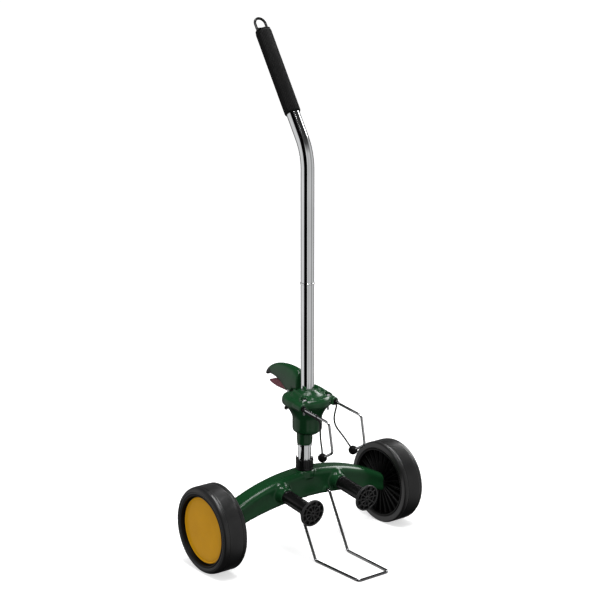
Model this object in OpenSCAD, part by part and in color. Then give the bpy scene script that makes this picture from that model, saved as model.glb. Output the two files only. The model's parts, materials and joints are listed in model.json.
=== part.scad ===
// Two-wheeled upright carrier: an arched beam between two wheels carries a chromed pole with a hand
// grip, a joint housing with a hooked catch and two wire hooks, two lower pegs and a wire foot.
// +Z is up, the load side faces -Y, and left (-X) and right (+X) are as seen from the load side.

/* [Wheels] */
// Outside diameter of a wheel
wheel_d = 165.6; // [150:0.2:172]
// Width of a tyre
tyre_w = 49.6; // [44:0.2:54]
// Distance between the middles of the two wheels
track = 434; // [420:1:450]
// Diameter of a hub cap
cap_d = 126.6; // [110:0.2:128]
// Number of radial ribs on the inner side of a wheel
wheel_ribs = 24; // [12:2:32]
// Diameter of the steel axle pins
axle_d = 12; // [10:0.5:14]

/* [Beam] */
// Depth of the beam, front to back
beam_depth = 44; // [40:1:50]
// Radius of the arch along the beam's top
beam_top_r = 400; // [390:5:430]
// Height of the beam's top at its middle
beam_top = 154; // [150:0.5:160]
// Radius of the arch along the beam's underside
beam_low_r = 600; // [560:5:640]
// Height of the beam's underside at its middle
beam_low = 101.3; // [98:0.1:104]
// Thickness of the moulded walls
wall = 3; // [2.5:0.1:3.5]

/* [Pole] */
// Outside diameter of the chromed tubes
tube_d = 25.4; // [25.3:0.1:25.5]
// Thickness of the tubes' wall
tube_wall = 1.2; // [1:0.1:1.6]
// Height at which the two straight lines of the pole meet, at the bend
bend_z = 769; // [740:1:800]
// Lean of the handle from upright, in degrees
handle_lean = 32.3; // [20:0.1:40]
// Radius of the pole's bend, along its middle line
bend_r = 107; // [90:1:130]
// Height of the seam between the lower and the upper tube
seam_z = 526; // [480:1:560]

/* [Handle] */
// Distance from the bend's corner to the lower end of the grip
grip_start = 81; // [70:1:100]
// Length of the grip
grip_len = 173; // [150:1:180]
// Outside diameter of the grip
grip_d = 31; // [29:0.5:34]
// Length of the hanging loop beyond the grip
loop_len = 29; // [26:1:32]

/* [Hooks and foot] */
// Distance of each wire hook from the middle
arm_x = 38.7; // [38:0.1:40]
// Diameter of the hooks' wire
arm_d = 5; // [4.8:0.1:5]
// Diameter of the balls at the hooks' ends
ball_d = 18; // [16:0.5:19]
// Diameter of the elastic cords
cord_d = 3.3; // [3:0.1:3.5]
// Distance of each peg from the middle
peg_x = 66; // [65:0.5:70]
// Diameter of a peg
peg_d = 27; // [24:0.5:28]
// Diameter of a peg's end disc
disc_d = 52; // [44:0.5:54]
// Diameter of the foot's wire
foot_d = 5.5; // [5:0.1:6]
// Distance of the foot's front bar ahead of the axle line
foot_reach = 213; // [200:1:220]

/* [Hidden] */
$fn = 64;

// Colours
green = [0.13, 0.30, 0.18];
yellow = [0.72, 0.52, 0.12];
black = [0.09, 0.09, 0.09];
chrome = [0.80, 0.81, 0.82];
steel = [0.62, 0.63, 0.64];
maroon = [0.40, 0.14, 0.20];
nylon = [0.86, 0.85, 0.80];

// Wheels
wheel_r = wheel_d / 2;
axle_z = wheel_r;
tyre_in = tyre_w / 2;
barrel_r = wheel_r - 13.4;
barrel_wall = 3.4;
hub_r = 15;
bush_r = 9;
hub_out = 7;
run_gap = 0.03;
cap_face = tyre_in - 8;

// Beam
beam_half = beam_depth / 2;
beam_edge_r = 11;
beam_low_edge_r = 8;
washer_t = 2.5;
beam_end = track / 2 - tyre_in - washer_t - 0.2;
cavity_end = 142;
boss_r = 15;
boss_x = 150;
plate_t = 4;
plate_screw_x = [-128, -92, 92, 128];
rib_x = [-110, -50, 50, 110];
function top_at(x) = beam_top - beam_top_r + sqrt(beam_top_r * beam_top_r - x * x);
function low_at(x) = beam_low - beam_low_r + sqrt(beam_low_r * beam_low_r - x * x);

// Tubes
tube_r = tube_d / 2;
bore_r = tube_r - tube_wall;
low_tube_y = -4.6;
pole_y = -12.8;
low_tube_base = beam_low + plate_t + 1;
low_tube_top = 230;
pole_base = 236;
grip_end = grip_start + grip_len;

// Joint housing
collar_base = beam_top + 1;
neck_base = 205;
part_z = 290;
drum_r = 48.5;
drum_top = 317;
lever_y = 28;
lever_z = 306;
lever_pin_r = 2.5;
lever_pin_head_r = 2.9;
pocket_half = 14.6;
plunger_z = 292;
cover_screw = [29, -40];
cover_screw_r = 1.9;
anchor_z = 277;
anchor_angles = [50, 130];
anchor_pin_r = 1.95;

// Wire hooks: the root lies on a line that dips towards the front
root_y = -50;
root_z = 293.6;
root_dip = 6.4;
arm_front = [arm_x, -127, 285];
arm_low = [arm_x, -138, 230];
ball_at = [arm_x - 1.7, -106, 212];
arm_end = ball_at + [0.2, -3, 1.6];

// Pegs
peg_y = -beam_half;
peg_z = 123;
peg_dip = 7.1;
peg_boss_len = 15;
peg_len = 89;

// Bent wires: how much thinner the straight parts are, and how far they lap into the elbows
wire_step = 0.03;
wire_lap = 0.5;

// Foot
foot_x = 39.5;
foot_stub_z = 109;
foot_r = foot_d / 2;

// Elastic cords: the middle lines of the right and the left cord, ahead of the hinge of the hooks
right_route = [[38.7, -54, 288.3], [38.7, -53, 283], [38.7, -50.5, 276], [38.7, -48, 268],
    [38.7, -47, 259], [38.7, -49, 250.5], [38.6, -55, 243], [38.4, -64, 237.5], [38, -75, 231.5],
    [37.6, -86, 224.5], [37.2, -94, 219.4], [37.1, -98.2, 216.8]];
left_route = [[-38.7, -54, 288.3], [-38.7, -60, 287.7], [-38.7, -68, 286.9], [-38.7, -76, 286],
    [-38.7, -84, 285.1], [-38.7, -89, 284.6], [-38.7, -94.6, 284], [-38.7, -99, 281.4],
    [-38.6, -101.2, 276.5], [-38.6, -101.6, 268.5], [-38.5, -101.4, 259], [-38.2, -101.6, 249],
    [-37.8, -103, 239], [-37.4, -104.8, 229], [-37.2, -105.6, 220.9]];

// The origin is on the floor, under the middle of the bounding box
back_edge = pole_y + (grip_end + loop_len) * sin(handle_lean) + 2 * cos(handle_lean);
front_edge = -foot_reach - foot_r;
origin_shift = -(back_edge + front_edge) / 2;
module place() { translate([0, origin_shift, 0]) children(); }

// ---- Helpers ----

// A cylinder from a to b
module rod(a, b, r) {
    v = b - a;
    translate(a) rotate([0, acos(v[2] / norm(v)), atan2(v[1], v[0])]) cylinder(r = r, h = norm(v));
}

function unit(v) = v / norm(v);
function on_side(p, side) = [side * p[0], p[1], p[2]];
function turn(p, i) = acos(unit(p[i] - p[i - 1]) * unit(p[i + 1] - p[i]));
function cut_back(p, i, bend) = i == 0 || i == len(p) - 1 ? 0 : bend * tan(turn(p, i) / 2);

// The piece of a ring that turns the line p round its corner i
module elbow(p, i, bend, r) {
    u = unit(p[i] - p[i - 1]);
    w = unit(p[i + 1] - p[i]);
    side = unit(w - u * (u * w));
    axis = cross(u, side);
    c = p[i] - u * cut_back(p, i, bend) + side * bend;
    multmatrix([for (k = [0 : 2]) [-side[k], u[k], axis[k], c[k]]])
        rotate_extrude(angle = turn(p, i)) translate([bend, 0]) circle(r);
}

// A wire along p with bent corners: the straight parts are a hair thinner and lap into the elbows
module wire(p, bend, r) {
    last = len(p) - 1;
    for (i = [1 : last]) {
        u = unit(p[i] - p[i - 1]);
        from = i == 1 ? 0 : cut_back(p, i - 1, bend) - wire_lap;
        to = i == last ? 0 : cut_back(p, i, bend) - wire_lap;
        rod(p[i - 1] + u * from, p[i] - u * to, r - wire_step);
    }
    for (i = [1 : last - 1]) elbow(p, i, bend, r);
}

// A thin tube swept along the points p, as one closed mesh
module swept(p, r, sides) {
    last = len(p) - 1;
    dirs = [for (i = [0 : last]) unit(p[min(i + 1, last)] - p[max(i - 1, 0)])];
    rings = [for (i = [0 : last]) let (
        side = unit(cross(dirs[i], abs(dirs[i][0]) > 0.9 ? [0, 0, 1] : [1, 0, 0])),
        up = cross(side, dirs[i]))
        for (k = [0 : sides - 1]) p[i] + r * (cos(360 * k / sides) * side + sin(360 * k / sides) * up)];
    polyhedron(rings, concat(
        [[for (k = [0 : sides - 1]) k]],
        [for (i = [0 : last - 1]) for (k = [0 : sides - 1])
            [i * sides + k, (i + 1) * sides + k, (i + 1) * sides + (k + 1) % sides,
            i * sides + (k + 1) % sides]],
        [[for (k = [sides - 1 : -1 : 0]) last * sides + k]]), 5);
}

// Points of a quadratic curve from a to c, pulled towards b
function curve(a, b, c, n) = [for (i = [0 : n]) let (t = i / n)
    a * (1 - t) * (1 - t) + b * 2 * t * (1 - t) + c * t * t];

// A flat shape drawn in Y and Z, as thick as 2 * half along X
module side_plate(points, half) {
    translate([-half, 0, 0]) rotate([90, 0, 90]) linear_extrude(2 * half) polygon(points);
}

// The box between two corners
module span_box(a, b) { translate(a) cube(b - a); }

// Stands its children, built along +Z, on the wheel's axis with +Z pointing outwards
module on_wheel(side) { translate([side * track / 2, 0, axle_z]) rotate([0, side * 90, 0]) children(); }

// Stands its children, built along +Z, on a hook's root with +Z pointing forwards
module on_root(side) { translate([side * arm_x, root_y, root_z]) rotate([90 + root_dip, 0, 0]) children(); }

// Stands its children, built along +Z, on a peg's foot with +Z pointing forwards
module on_peg(side) { translate([side * peg_x, peg_y, peg_z]) rotate([90 + peg_dip, 0, 0]) children(); }

// Stands its children, built along +Z, on the pole's axis, pointing out to a cord's anchor
module on_anchor(angle) { translate([0, pole_y, anchor_z]) rotate([0, 90, angle]) children(); }

// Stands its children on the handle, +Z along it, from the corner of the bend
module on_handle() { translate([0, pole_y, bend_z]) rotate([-handle_lean, 0, 0]) children(); }

// ---- Beam ----

// A bar section with its two corners at the far end rounded
module capped_bar(near, far, half, r) {
    translate([near, -half]) square([far - r - near, 2 * half]);
    translate([near, r - half]) square([far - near, 2 * (half - r)]);
    for (s = [-1, 1]) translate([far - r, s * (half - r)]) circle(r);
}

// Everything under the beam's top, with the top edges rounded
module under_top(inset) {
    translate([0, 0, beam_top - beam_top_r]) rotate([90, 0, 0]) rotate_extrude()
        capped_bar(beam_top_r - 100, beam_top_r - inset, beam_half - inset, beam_edge_r - inset);
}

// Everything over the beam's underside, with the lower edges rounded
module over_low() {
    translate([0, 0, beam_low - beam_low_r]) rotate([90, 0, 0]) rotate_extrude()
        translate([2 * beam_low_r, 0]) mirror([1, 0])
            capped_bar(beam_low_r - 120, beam_low_r, beam_half, beam_low_edge_r);
}

module span(half_x, half_y, low, high) {
    translate([-half_x, -half_y, low]) cube([2 * half_x, 2 * half_y, high - low]);
}

module beam_solid() {
    intersection() {
        under_top(0);
        over_low();
        span(beam_end, beam_half + 1, 40, beam_top + 1);
    }
}

module beam_shell() color(green) place() {
    socket_r = tube_r + 4;
    difference() {
        union() {
            difference() {
                beam_solid();
                intersection() {
                    under_top(wall);
                    span(cavity_end, beam_half - wall, 20, beam_top);
                }
            }
            // Seat and socket of the pole
            translate([0, low_tube_y, low_tube_base])
                cylinder(r = socket_r, h = beam_top - 2 - low_tube_base);
            translate([0, low_tube_y, beam_top - 6]) cylinder(r = 19, h = collar_base - beam_top + 6);
            // Cross ribs
            for (x = rib_x) intersection() {
                under_top(1);
                translate([x - 1.25, -beam_half + 1, low_at(x) + plate_t + 2])
                    cube([2.5, 2 * beam_half - 2, 60]);
            }
            for (x = plate_screw_x) translate([x, 0, low_at(x) + plate_t + 1])
                cylinder(r = 5, h = top_at(x) - low_at(x) - plate_t - 2);
            for (s = [-1, 1]) {
                // Axle bosses
                translate([s * boss_x, 0, axle_z]) rotate([0, s * 90, 0])
                    cylinder(r = boss_r, h = beam_end - boss_x);
                translate([s * boss_x, 0, axle_z]) sphere(boss_r);
                // Peg bosses
                on_peg(s) translate([0, 0, -12]) cylinder(r = peg_d / 2 + 2, h = peg_boss_len + 12);
                // Foot sockets
                translate([s * foot_x, -beam_half + 1, foot_stub_z]) rotate([-90, 0, 0])
                    cylinder(r = 5, h = 26);
            }
        }
        translate([0, low_tube_y, low_tube_base - 1]) cylinder(r = tube_r, h = 80);
        for (x = plate_screw_x) translate([x, 0, low_at(x)]) cylinder(r = 2, h = plate_t + 16);
        for (s = [-1, 1]) {
            translate([s * (cavity_end - 1), 0, axle_z]) rotate([0, s * 90, 0])
                cylinder(r = axle_d / 2, h = 60);
            on_peg(s) translate([0, 0, -13]) cylinder(r = 3, h = peg_boss_len + 14);
            translate([s * foot_x, -beam_half - 1, foot_stub_z]) rotate([-90, 0, 0])
                cylinder(r = foot_r, h = 25);
        }
    }
}

module beam_base_plate() color(green) place() {
    difference() {
        intersection() {
            over_low();
            translate([0, 0, beam_low - beam_low_r]) rotate([90, 0, 0])
                cylinder(r = beam_low_r + plate_t, h = 100, center = true);
            span(cavity_end - 0.3, beam_half - wall - 0.3, 40, beam_top);
        }
        for (x = plate_screw_x) {
            translate([x, 0, low_at(x) - 8]) cylinder(r = 2.2, h = 20);
            translate([x, 0, low_at(x) - 8]) cylinder(r = 4.4, h = 10);
        }
        for (s = [-1, 1]) translate([s * boss_x, 0, axle_z]) sphere(boss_r + 0.3);
        translate([0, low_tube_y, 90]) cylinder(r = 4.2, h = 20);
    }
}

module base_plate_screws() color(steel) place() {
    for (x = plate_screw_x) translate([x, 0, low_at(x) + 2]) {
        cylinder(r = 2, h = 15);
        translate([0, 0, -2.4]) cylinder(r = 4.1, h = 2.4);
    }
}

// ---- Axles and wheels ----

module axle_pin(side) color(steel) place() {
    inner = cavity_end - track / 2;
    outer = 12;
    on_wheel(side) translate([0, 0, inner]) cylinder(r = axle_d / 2, h = outer - inner);
    on_wheel(side) translate([0, 0, outer]) cylinder(r1 = axle_d / 2, r2 = axle_d / 2 - 1, h = 1);
}
module left_axle_pin() { axle_pin(-1); }
module right_axle_pin() { axle_pin(1); }

module thrust_washers() color(steel) place() {
    for (s = [-1, 1]) on_wheel(s) translate([0, 0, beam_end - track / 2]) difference() {
        cylinder(r = 12, h = washer_t);
        translate([0, 0, -1]) cylinder(r = axle_d / 2, h = washer_t + 2);
    }
}

module wheel_push_nuts() color(steel) place() {
    for (s = [-1, 1]) on_wheel(s) translate([0, 0, hub_out + 0.4]) difference() {
        union() {
            cylinder(r = 10, h = 1.2);
            cylinder(r = 8, h = 2.6);
        }
        translate([0, 0, -1]) cylinder(r = axle_d / 2, h = 5);
    }
}

module tyre(side) color(black) place() {
    shoulder = 9;
    inner_shoulder = 3;
    on_wheel(side) rotate_extrude($fn = 128) difference() {
        union() {
            translate([barrel_r, -tyre_in]) square([wheel_r - shoulder - barrel_r, tyre_w]);
            translate([barrel_r, shoulder - tyre_in]) square([wheel_r - barrel_r, tyre_w - 2 * shoulder]);
            for (s = [-1, 1]) translate([wheel_r - shoulder, s * (tyre_in - shoulder)]) circle(shoulder);
        }
        translate([0, -tyre_w]) square([barrel_r, 2 * tyre_w]);
        // Shallow grooves round the tread and the outer wall
        for (s = [-1, 1]) translate([wheel_r + 0.4, s * (tyre_in - shoulder - 1)]) circle(1.2);
        translate([barrel_r + 4, tyre_in + 0.3]) circle(0.9);
    }
}
module left_tyre() { tyre(-1); }
module right_tyre() { tyre(1); }

module wheel_rim(side) color(black) place() {
    web_in = hub_out + 0.5;
    web_t = 3;
    on_wheel(side) difference() {
        union() {
            // Barrel and web
            rotate_extrude($fn = 128) {
                translate([barrel_r - barrel_wall, -tyre_in]) square([barrel_wall, tyre_w]);
                translate([hub_r - 1, web_in - web_t]) square([barrel_r - hub_r, web_t]);
                translate([barrel_r - barrel_wall - 2, cap_face - 6]) square([3, 3]);
            }
            translate([0, 0, -tyre_in + 2]) cylinder(r = hub_r, h = tyre_in - 2 + hub_out);
            for (i = [0 : wheel_ribs - 1]) rotate(360 * i / wheel_ribs)
                translate([hub_r - 1, -1.1, 5 - tyre_in])
                    cube([barrel_r - hub_r - barrel_wall + 2, 2.2, tyre_in]);
            for (i = [0 : wheel_ribs - 1]) rotate(360 * (i + 0.5) / wheel_ribs)
                translate([barrel_r - 30, -0.8, 9 - tyre_in]) cube([28, 1.6, tyre_in - 4]);
            translate([0, 0, 9 - tyre_in]) difference() {
                cylinder(r = 42, h = tyre_in - 4);
                translate([0, 0, -1]) cylinder(r = 40, h = tyre_in);
            }
        }
        translate([0, 0, -tyre_in]) cylinder(r = bush_r, h = tyre_w);
    }
}
module left_wheel_rim() { wheel_rim(-1); }
module right_wheel_rim() { wheel_rim(1); }

module hub_cap(side) color(yellow) place() {
    cap_r = cap_d / 2;
    crown = 1.6;
    dome = [for (i = [0 : 6]) [cap_r * (1 - i / 6), cap_face + crown * (1 - pow(1 - i / 6, 2))]];
    on_wheel(side) {
        rotate_extrude($fn = 128) {
            polygon(concat([[0, cap_face - 2.4], [cap_r, cap_face - 2.4]], dome));
            // Rolled edge
            translate([cap_r - 1.3, cap_face - 0.6]) circle(1.3);
        }
        // Snap legs that reach down to the web of the rim
        for (i = [0 : 3]) rotate(90 * i + 45) translate([barrel_r - 32, -4, hub_out + 0.8])
            cube([2, 8, cap_face - hub_out - 2]);
    }
}
module left_hub_cap() { hub_cap(-1); }
module right_hub_cap() { hub_cap(1); }

module wheel_bush(side) color(nylon) place() {
    on_wheel(side) difference() {
        union() {
            translate([0, 0, -tyre_in]) cylinder(r = bush_r, h = tyre_in + hub_out);
            translate([0, 0, -tyre_in]) cylinder(r = 12.5, h = 2);
        }
        translate([0, 0, -tyre_in - 1]) cylinder(r = axle_d / 2 + run_gap, h = tyre_w);
    }
}
module left_wheel_bush() { wheel_bush(-1); }
module right_wheel_bush() { wheel_bush(1); }

// ---- Pole foot ----

module pole_collar() color(black) place() {
    ring_r = 17.2;
    ring_top = 175;
    horn_top = 181;
    translate([0, low_tube_y, 0]) difference() {
        union() {
            translate([0, 0, collar_base]) cylinder(r = ring_r - 0.9, h = ring_top - collar_base);
            translate([0, 0, collar_base]) cylinder(r = ring_r, h = 4);
            // Upright ridges, and a crown of teeth with four taller horns
            for (i = [0 : 23]) {
                top = i % 6 == 3 ? horn_top : i % 2 == 0 ? ring_top + 2 : ring_top;
                rotate(15 * i) translate([ring_r - 2, -1.1, collar_base]) cube([2, 2.2, top - collar_base]);
            }
        }
        cylinder(r = tube_r, h = 400);
    }
}

module lower_tube() color(chrome) place() {
    translate([0, low_tube_y, low_tube_base]) difference() {
        cylinder(r = tube_r, h = low_tube_top - low_tube_base);
        translate([0, 0, -1]) cylinder(r = bore_r, h = low_tube_top - low_tube_base + 2);
    }
}

module tube_plug() color(black) place() {
    translate([0, low_tube_y, low_tube_base]) difference() {
        cylinder(r = bore_r, h = 18);
        translate([0, 0, -1]) cylinder(r = 3, h = 20);
    }
}

module tube_bolt() color(steel) place() {
    translate([0, low_tube_y, beam_low + plate_t]) {
        translate([0, 0, -7]) cylinder(r = 3, h = 24);
        translate([0, 0, -plate_t - 4]) cylinder(r = 5.6, h = 4, $fn = 6);
        translate([0, 0, -plate_t]) cylinder(r = 4, h = plate_t);
    }
}

module neck_washer() color(chrome) place() {
    translate([0, low_tube_y, neck_base - 2.5]) difference() {
        cylinder(r = 14, h = 2.5);
        translate([0, 0, -1]) cylinder(r = tube_r, h = 5);
    }
}

// ---- Joint housing ----

flare = [for (i = [0 : 8]) let (t = i / 8) [28.5 + 18 * pow(t, 1.5), 262 + (part_z - 262) * t]];

module joint_body() color(green) place() {
    difference() {
        union() {
            difference() {
                translate([0, pole_y, 0]) rotate_extrude()
                    polygon(concat([[0, 229], [18, 229], [28.5, 238]], flare, [[0, part_z]]));
                translate([0, pole_y, 0]) rotate_extrude()
                    polygon(concat([[0, 242], [28.5 - wall, 242]],
                        [for (p = flare) [p[0] - wall, p[1] + 0.2]], [[0, part_z + 1]]));
            }
            translate([0, pole_y, 235]) cylinder(r = tube_r + 3.5, h = part_z - 235);
            translate([0, low_tube_y, neck_base]) cylinder(r1 = 13.8, r2 = 15.3, h = 3);
            translate([0, low_tube_y, neck_base + 3]) cylinder(r = 15.3, h = 26);
            for (s = [-1, 1]) intersection() {
                translate([s * cover_screw[0], cover_screw[1], 262]) cylinder(r = 5, h = part_z - 262);
                translate([0, pole_y, 0]) rotate_extrude()
                    polygon(concat([[0, 240], [28.5, 240]], flare, [[0, part_z]]));
            }
        }
        translate([0, low_tube_y, neck_base - 1]) cylinder(r = tube_r, h = low_tube_top - neck_base + 1.5);
        translate([0, pole_y, pole_base]) cylinder(r = tube_r, h = 100);
        for (s = [-1, 1]) {
            on_root(s) translate([0, 0, -40]) cylinder(r = 8.5, h = 60);
            translate([s * cover_screw[0], cover_screw[1], 274]) cylinder(r = cover_screw_r + 0.02, h = 30);
        }
        for (angle = anchor_angles) on_anchor(angle) translate([0, 0, 30])
            cylinder(r = anchor_pin_r + 0.02, h = 20);
        // Room for the release lever, its plunger and their guide
        span_box([-15, 0.2, 274], [15, 60, part_z + 1]);
        span_box([-8.2, -2.2, 284.8], [8.2, 1, part_z + 1]);
    }
}

drum_edge = 9;
module joint_cover() color(green) place() {
    drum = concat([[0, part_z], [46.5, part_z], [drum_r, part_z + 2]],
        [for (a = [0 : 15 : 90])
            [drum_r - drum_edge + drum_edge * cos(a), part_z + 8 + drum_edge * sin(a)]],
        [[19, 311.5], [17.5, drum_top], [0, drum_top]]);
    difference() {
        union() {
            difference() {
                translate([0, pole_y, 0]) rotate_extrude() polygon(drum);
                translate([0, pole_y, 0]) rotate_extrude()
                    polygon([[0, part_z - 1], [43.5, part_z - 1], [45.5, part_z + 3],
                        [45.5, part_z + 8], [39, 304], [19, 308], [0, 308]]);
            }
            translate([0, pole_y, part_z + 0.5]) cylinder(r = tube_r + 3.5, h = drum_top - part_z - 1);
            for (s = [-1, 1]) {
                // Pod round the root of the hook, and the ridge that runs down to it
                on_root(s) translate([0, 0, -30]) cylinder(r = 8, h = 30);
                rod([s * 18, -11, 313], [s * 30, -38, 304], 7);
                rod([s * 30, -38, 304], [s * 38, -48, 296], 7);
                translate([s * 18, -11, 313]) sphere(7.2);
                translate([s * 30, -38, 304]) sphere(7.2);
                translate([s * cover_screw[0], cover_screw[1], part_z + 0.5]) cylinder(r = 5, h = 16);
            }
            // Guide of the plunger
            span_box([-8, -2, 285], [8, 20, 307]);
        }
        translate([0, pole_y, part_z - 10]) cylinder(r = tube_r, h = 60);
        for (s = [-1, 1]) {
            on_root(s) translate([0, 0, -15]) cylinder(r = 4.5, h = 20);
            on_root(s) translate([0, 0, -40]) cylinder(r = arm_d / 2 + 0.4, h = 45);
            // The flange of the bush stands free in front of the pod
            on_root(s) translate([0, 0, -0.1]) cylinder(r = 9, h = 20);
            translate([s * cover_screw[0], cover_screw[1], part_z - 2])
                cylinder(r = cover_screw_r + 0.1, h = 40);
            translate([s * cover_screw[0], cover_screw[1], 308]) cylinder(r = 5.2, h = 20);
        }
        translate([0, -3, plunger_z]) rotate([-90, 0, 0]) cylinder(r = 4.05, h = 40);
        // Pocket of the hook and the release lever, and the holes of their pin
        span_box([-pocket_half, 18.4, 280], [pocket_half, 60, 330]);
        span_box([-pocket_half, 2, 306], [pocket_half, 60, 330]);
        translate([-20, lever_y, lever_z]) rotate([0, 90, 0]) cylinder(r = lever_pin_head_r + 0.3, h = 40);
    }
}

module cover_screws() color(steel) place() {
    for (s = [-1, 1]) translate([s * cover_screw[0], cover_screw[1], 0]) {
        translate([0, 0, 275]) cylinder(r = cover_screw_r, h = 33);
        translate([0, 0, 308]) cylinder(r = 4.6, h = 1.6);
        translate([0, 0, 309.6]) cylinder(r1 = 4.6, r2 = 3, h = 1);
    }
}

// Plugs that hold the inner ends of the elastic cords under the rim of the housing
module cord_anchors() color(black) place() {
    for (angle = anchor_angles) on_anchor(angle) {
        translate([0, 0, 31.5]) cylinder(r = anchor_pin_r, h = 9);
        translate([0, 0, 39.5]) cylinder(r = 4, h = 4);
        translate([0, 0, 43.5]) cylinder(r1 = 4, r2 = 3, h = 1.2);
    }
}

// ---- Catch: hook, release lever, pin, spring and plunger ----

crown = curve([4, 347], [30, 355], [62, 353], 8);
bridge = curve([62, 353], [100, 350.5], [112, 333], 8);
claw = curve([112, 333], [116, 327], [116.5, 319.5], 4);
mouth = concat([[106, 322]], curve([104, 323], [76, 324], [54, 303], 8));
beak_outline = concat(crown, bridge, claw, mouth, [[46, 298.5], [18.6, 298.5], [18.6, 306.2], [4, 306.2]]);
tip_start = 105;

module beak_plan() {
    translate([0, 0, 290]) linear_extrude(70)
        polygon([[-14.3, 0], [14.3, 0], [14.3, 34], [11, 74], [5, 118],
            [-5, 118], [-11, 74], [-14.3, 34]]);
}

module beak_hook() color(green) place() {
    difference() {
        intersection() {
            side_plate(beak_outline, 16);
            beak_plan();
            span_box([-20, 0, 280], [20, tip_start, 380]);
        }
        // Hollow that the release lever swings in
        intersection() {
            side_plate(concat([[18.4, 290], [18.4, 338]], curve([18.4, 338], [30, 350], [60, 349], 5),
                curve([60, 349], [90, 347], [102, 324], 6), [[102, 290]]), 16);
            translate([0, 0, 280]) linear_extrude(90)
                polygon([[-11.4, 0], [11.4, 0], [11.4, 34], [8.2, 74],
                    [4.6, 102.5], [-4.6, 102.5], [-8.2, 74], [-11.4, 34]]);
        }
        span_box([-8.2, 0, 290], [8.2, 19, 306.2]);
        translate([-20, lever_y, lever_z]) rotate([0, 90, 0]) cylinder(r = lever_pin_r, h = 40);
    }
}

module beak_tip() color(black) place() {
    intersection() {
        side_plate(beak_outline, 16);
        beak_plan();
        span_box([-20, tip_start, 280], [20, 130, 380]);
    }
}

lever_outline = concat([[19.2, 290], [22.2, 290], [22.2, 299], [34, 299.5], [60, 300.4], [80, 301.2]],
    curve([80, 301.2], [96, 303], [104.5, 308], 4), curve([104.5, 310], [96, 315], [76, 318.5], 5),
    [[60, 318], [44, 314], [30, 312.4], [22, 311], [19.2, 304]]);
lever_tip_start = 99;

module lever_solid() {
    intersection() {
        side_plate(lever_outline, 7);
        translate([0, 0, 280]) linear_extrude(50)
            polygon([[-6, 10], [6, 10], [6, 60], [3, 106], [-3, 106], [-6, 60]]);
    }
}

module release_lever() color(maroon) place() {
    difference() {
        intersection() {
            lever_solid();
            span_box([-10, 0, 280], [10, lever_tip_start, 330]);
        }
        span_box([-4.5, 10, 280], [4.5, 22.6, 298]);
        translate([-20, lever_y, lever_z]) rotate([0, 90, 0]) cylinder(r = lever_pin_r + 0.05, h = 40);
    }
}

module lever_tip() color(black) place() {
    intersection() {
        lever_solid();
        span_box([-10, lever_tip_start, 280], [10, 130, 330]);
    }
}

module lever_pin() color(steel) place() {
    translate([-pocket_half, lever_y, lever_z]) rotate([0, 90, 0])
        cylinder(r = lever_pin_r, h = 2 * pocket_half);
    for (s = [-1, 1]) translate([s * pocket_half, lever_y, lever_z]) rotate([0, s * 90, 0])
        cylinder(r = lever_pin_head_r, h = 1.2);
}

module lever_spring() color(steel) place() {
    coil_r = 4.4;
    turns = 3;
    coil = [for (i = [0 : 12 * turns]) [6.9 + 3.4 * i / (12 * turns),
        lever_y + coil_r * cos(30 * i - 90), lever_z + coil_r * sin(30 * i - 90)]];
    swept(concat([[6.9, lever_y - 9, lever_z - coil_r]], coil, [[10.3, lever_y + 10, lever_z - coil_r]]),
        0.5, 6);
}

module lock_plunger() color(steel) place() {
    translate([0, 0, plunger_z]) rotate([-90, 0, 0]) {
        translate([0, 0, 0.4]) cylinder(r = 4, h = 24.4);
        translate([0, 0, -1.6]) cylinder(r = 3, h = 2);
        translate([0, 0, 22.9]) cylinder(r = 5.6, h = 2);
    }
}

// ---- Pole and handle ----

module lower_pole() color(chrome) place() {
    translate([0, pole_y, 0]) difference() {
        translate([0, 0, pole_base]) cylinder(r = tube_r, h = seam_z - pole_base);
        translate([0, 0, pole_base - 1]) cylinder(r = bore_r, h = seam_z - pole_base + 2);
        translate([0, 0, plunger_z]) rotate([-90, 0, 0]) cylinder(r = 3.1, h = 30);
    }
}

module pole_ring() color(chrome) place() {
    translate([0, pole_y, seam_z - 2.6]) rotate_extrude() difference() {
        translate([tube_r - 1.8, 0]) circle(2.6);
        translate([0, -5]) square([tube_r, 10]);
    }
}

// A straight stretch of the handle, a hair thinner than the bend, as in the wires, to lap into it
module straight_tube(from, to) {
    translate([0, 0, from]) difference() {
        cylinder(r = tube_r - wire_step, h = to - from);
        translate([0, 0, -1]) cylinder(r = bore_r + wire_step, h = to - from + 2);
    }
}

module handle_tube() color(chrome) place() {
    bend_cut = bend_r * tan(handle_lean / 2);
    arc_start = bend_z - bend_cut;
    translate([0, pole_y, 0]) straight_tube(seam_z, arc_start + wire_lap);
    multmatrix([[0, 0, -1, 0], [-1, 0, 0, pole_y + bend_r], [0, 1, 0, arc_start], [0, 0, 0, 1]])
        rotate_extrude(angle = handle_lean) translate([bend_r, 0]) difference() {
            circle(tube_r);
            circle(bore_r);
        }
    on_handle() straight_tube(bend_cut - wire_lap, grip_end - 2);
    // Spigot inside the lower pole
    translate([0, pole_y, seam_z]) rotate_extrude() polygon([[bore_r - 1.2, -40], [bore_r - 0.02, -40],
        [bore_r - 0.02, 0.5], [tube_r - 0.4, 0.5], [tube_r - 0.4, 4], [bore_r - 1.2, 4]]);
}

module hand_grip() color(black) place() {
    on_handle() rotate_extrude() difference() {
        union() {
            translate([tube_r, grip_start + 3]) square([grip_d / 2 - tube_r, grip_len - 6]);
            translate([tube_r, grip_start]) square([grip_d / 2 - tube_r - 2, grip_len]);
            for (z = [grip_start + 3, grip_end - 3]) translate([grip_d / 2 - 3, z]) circle(3);
        }
        translate([0, grip_start - 5]) square([tube_r, grip_len + 10]);
    }
}

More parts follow.
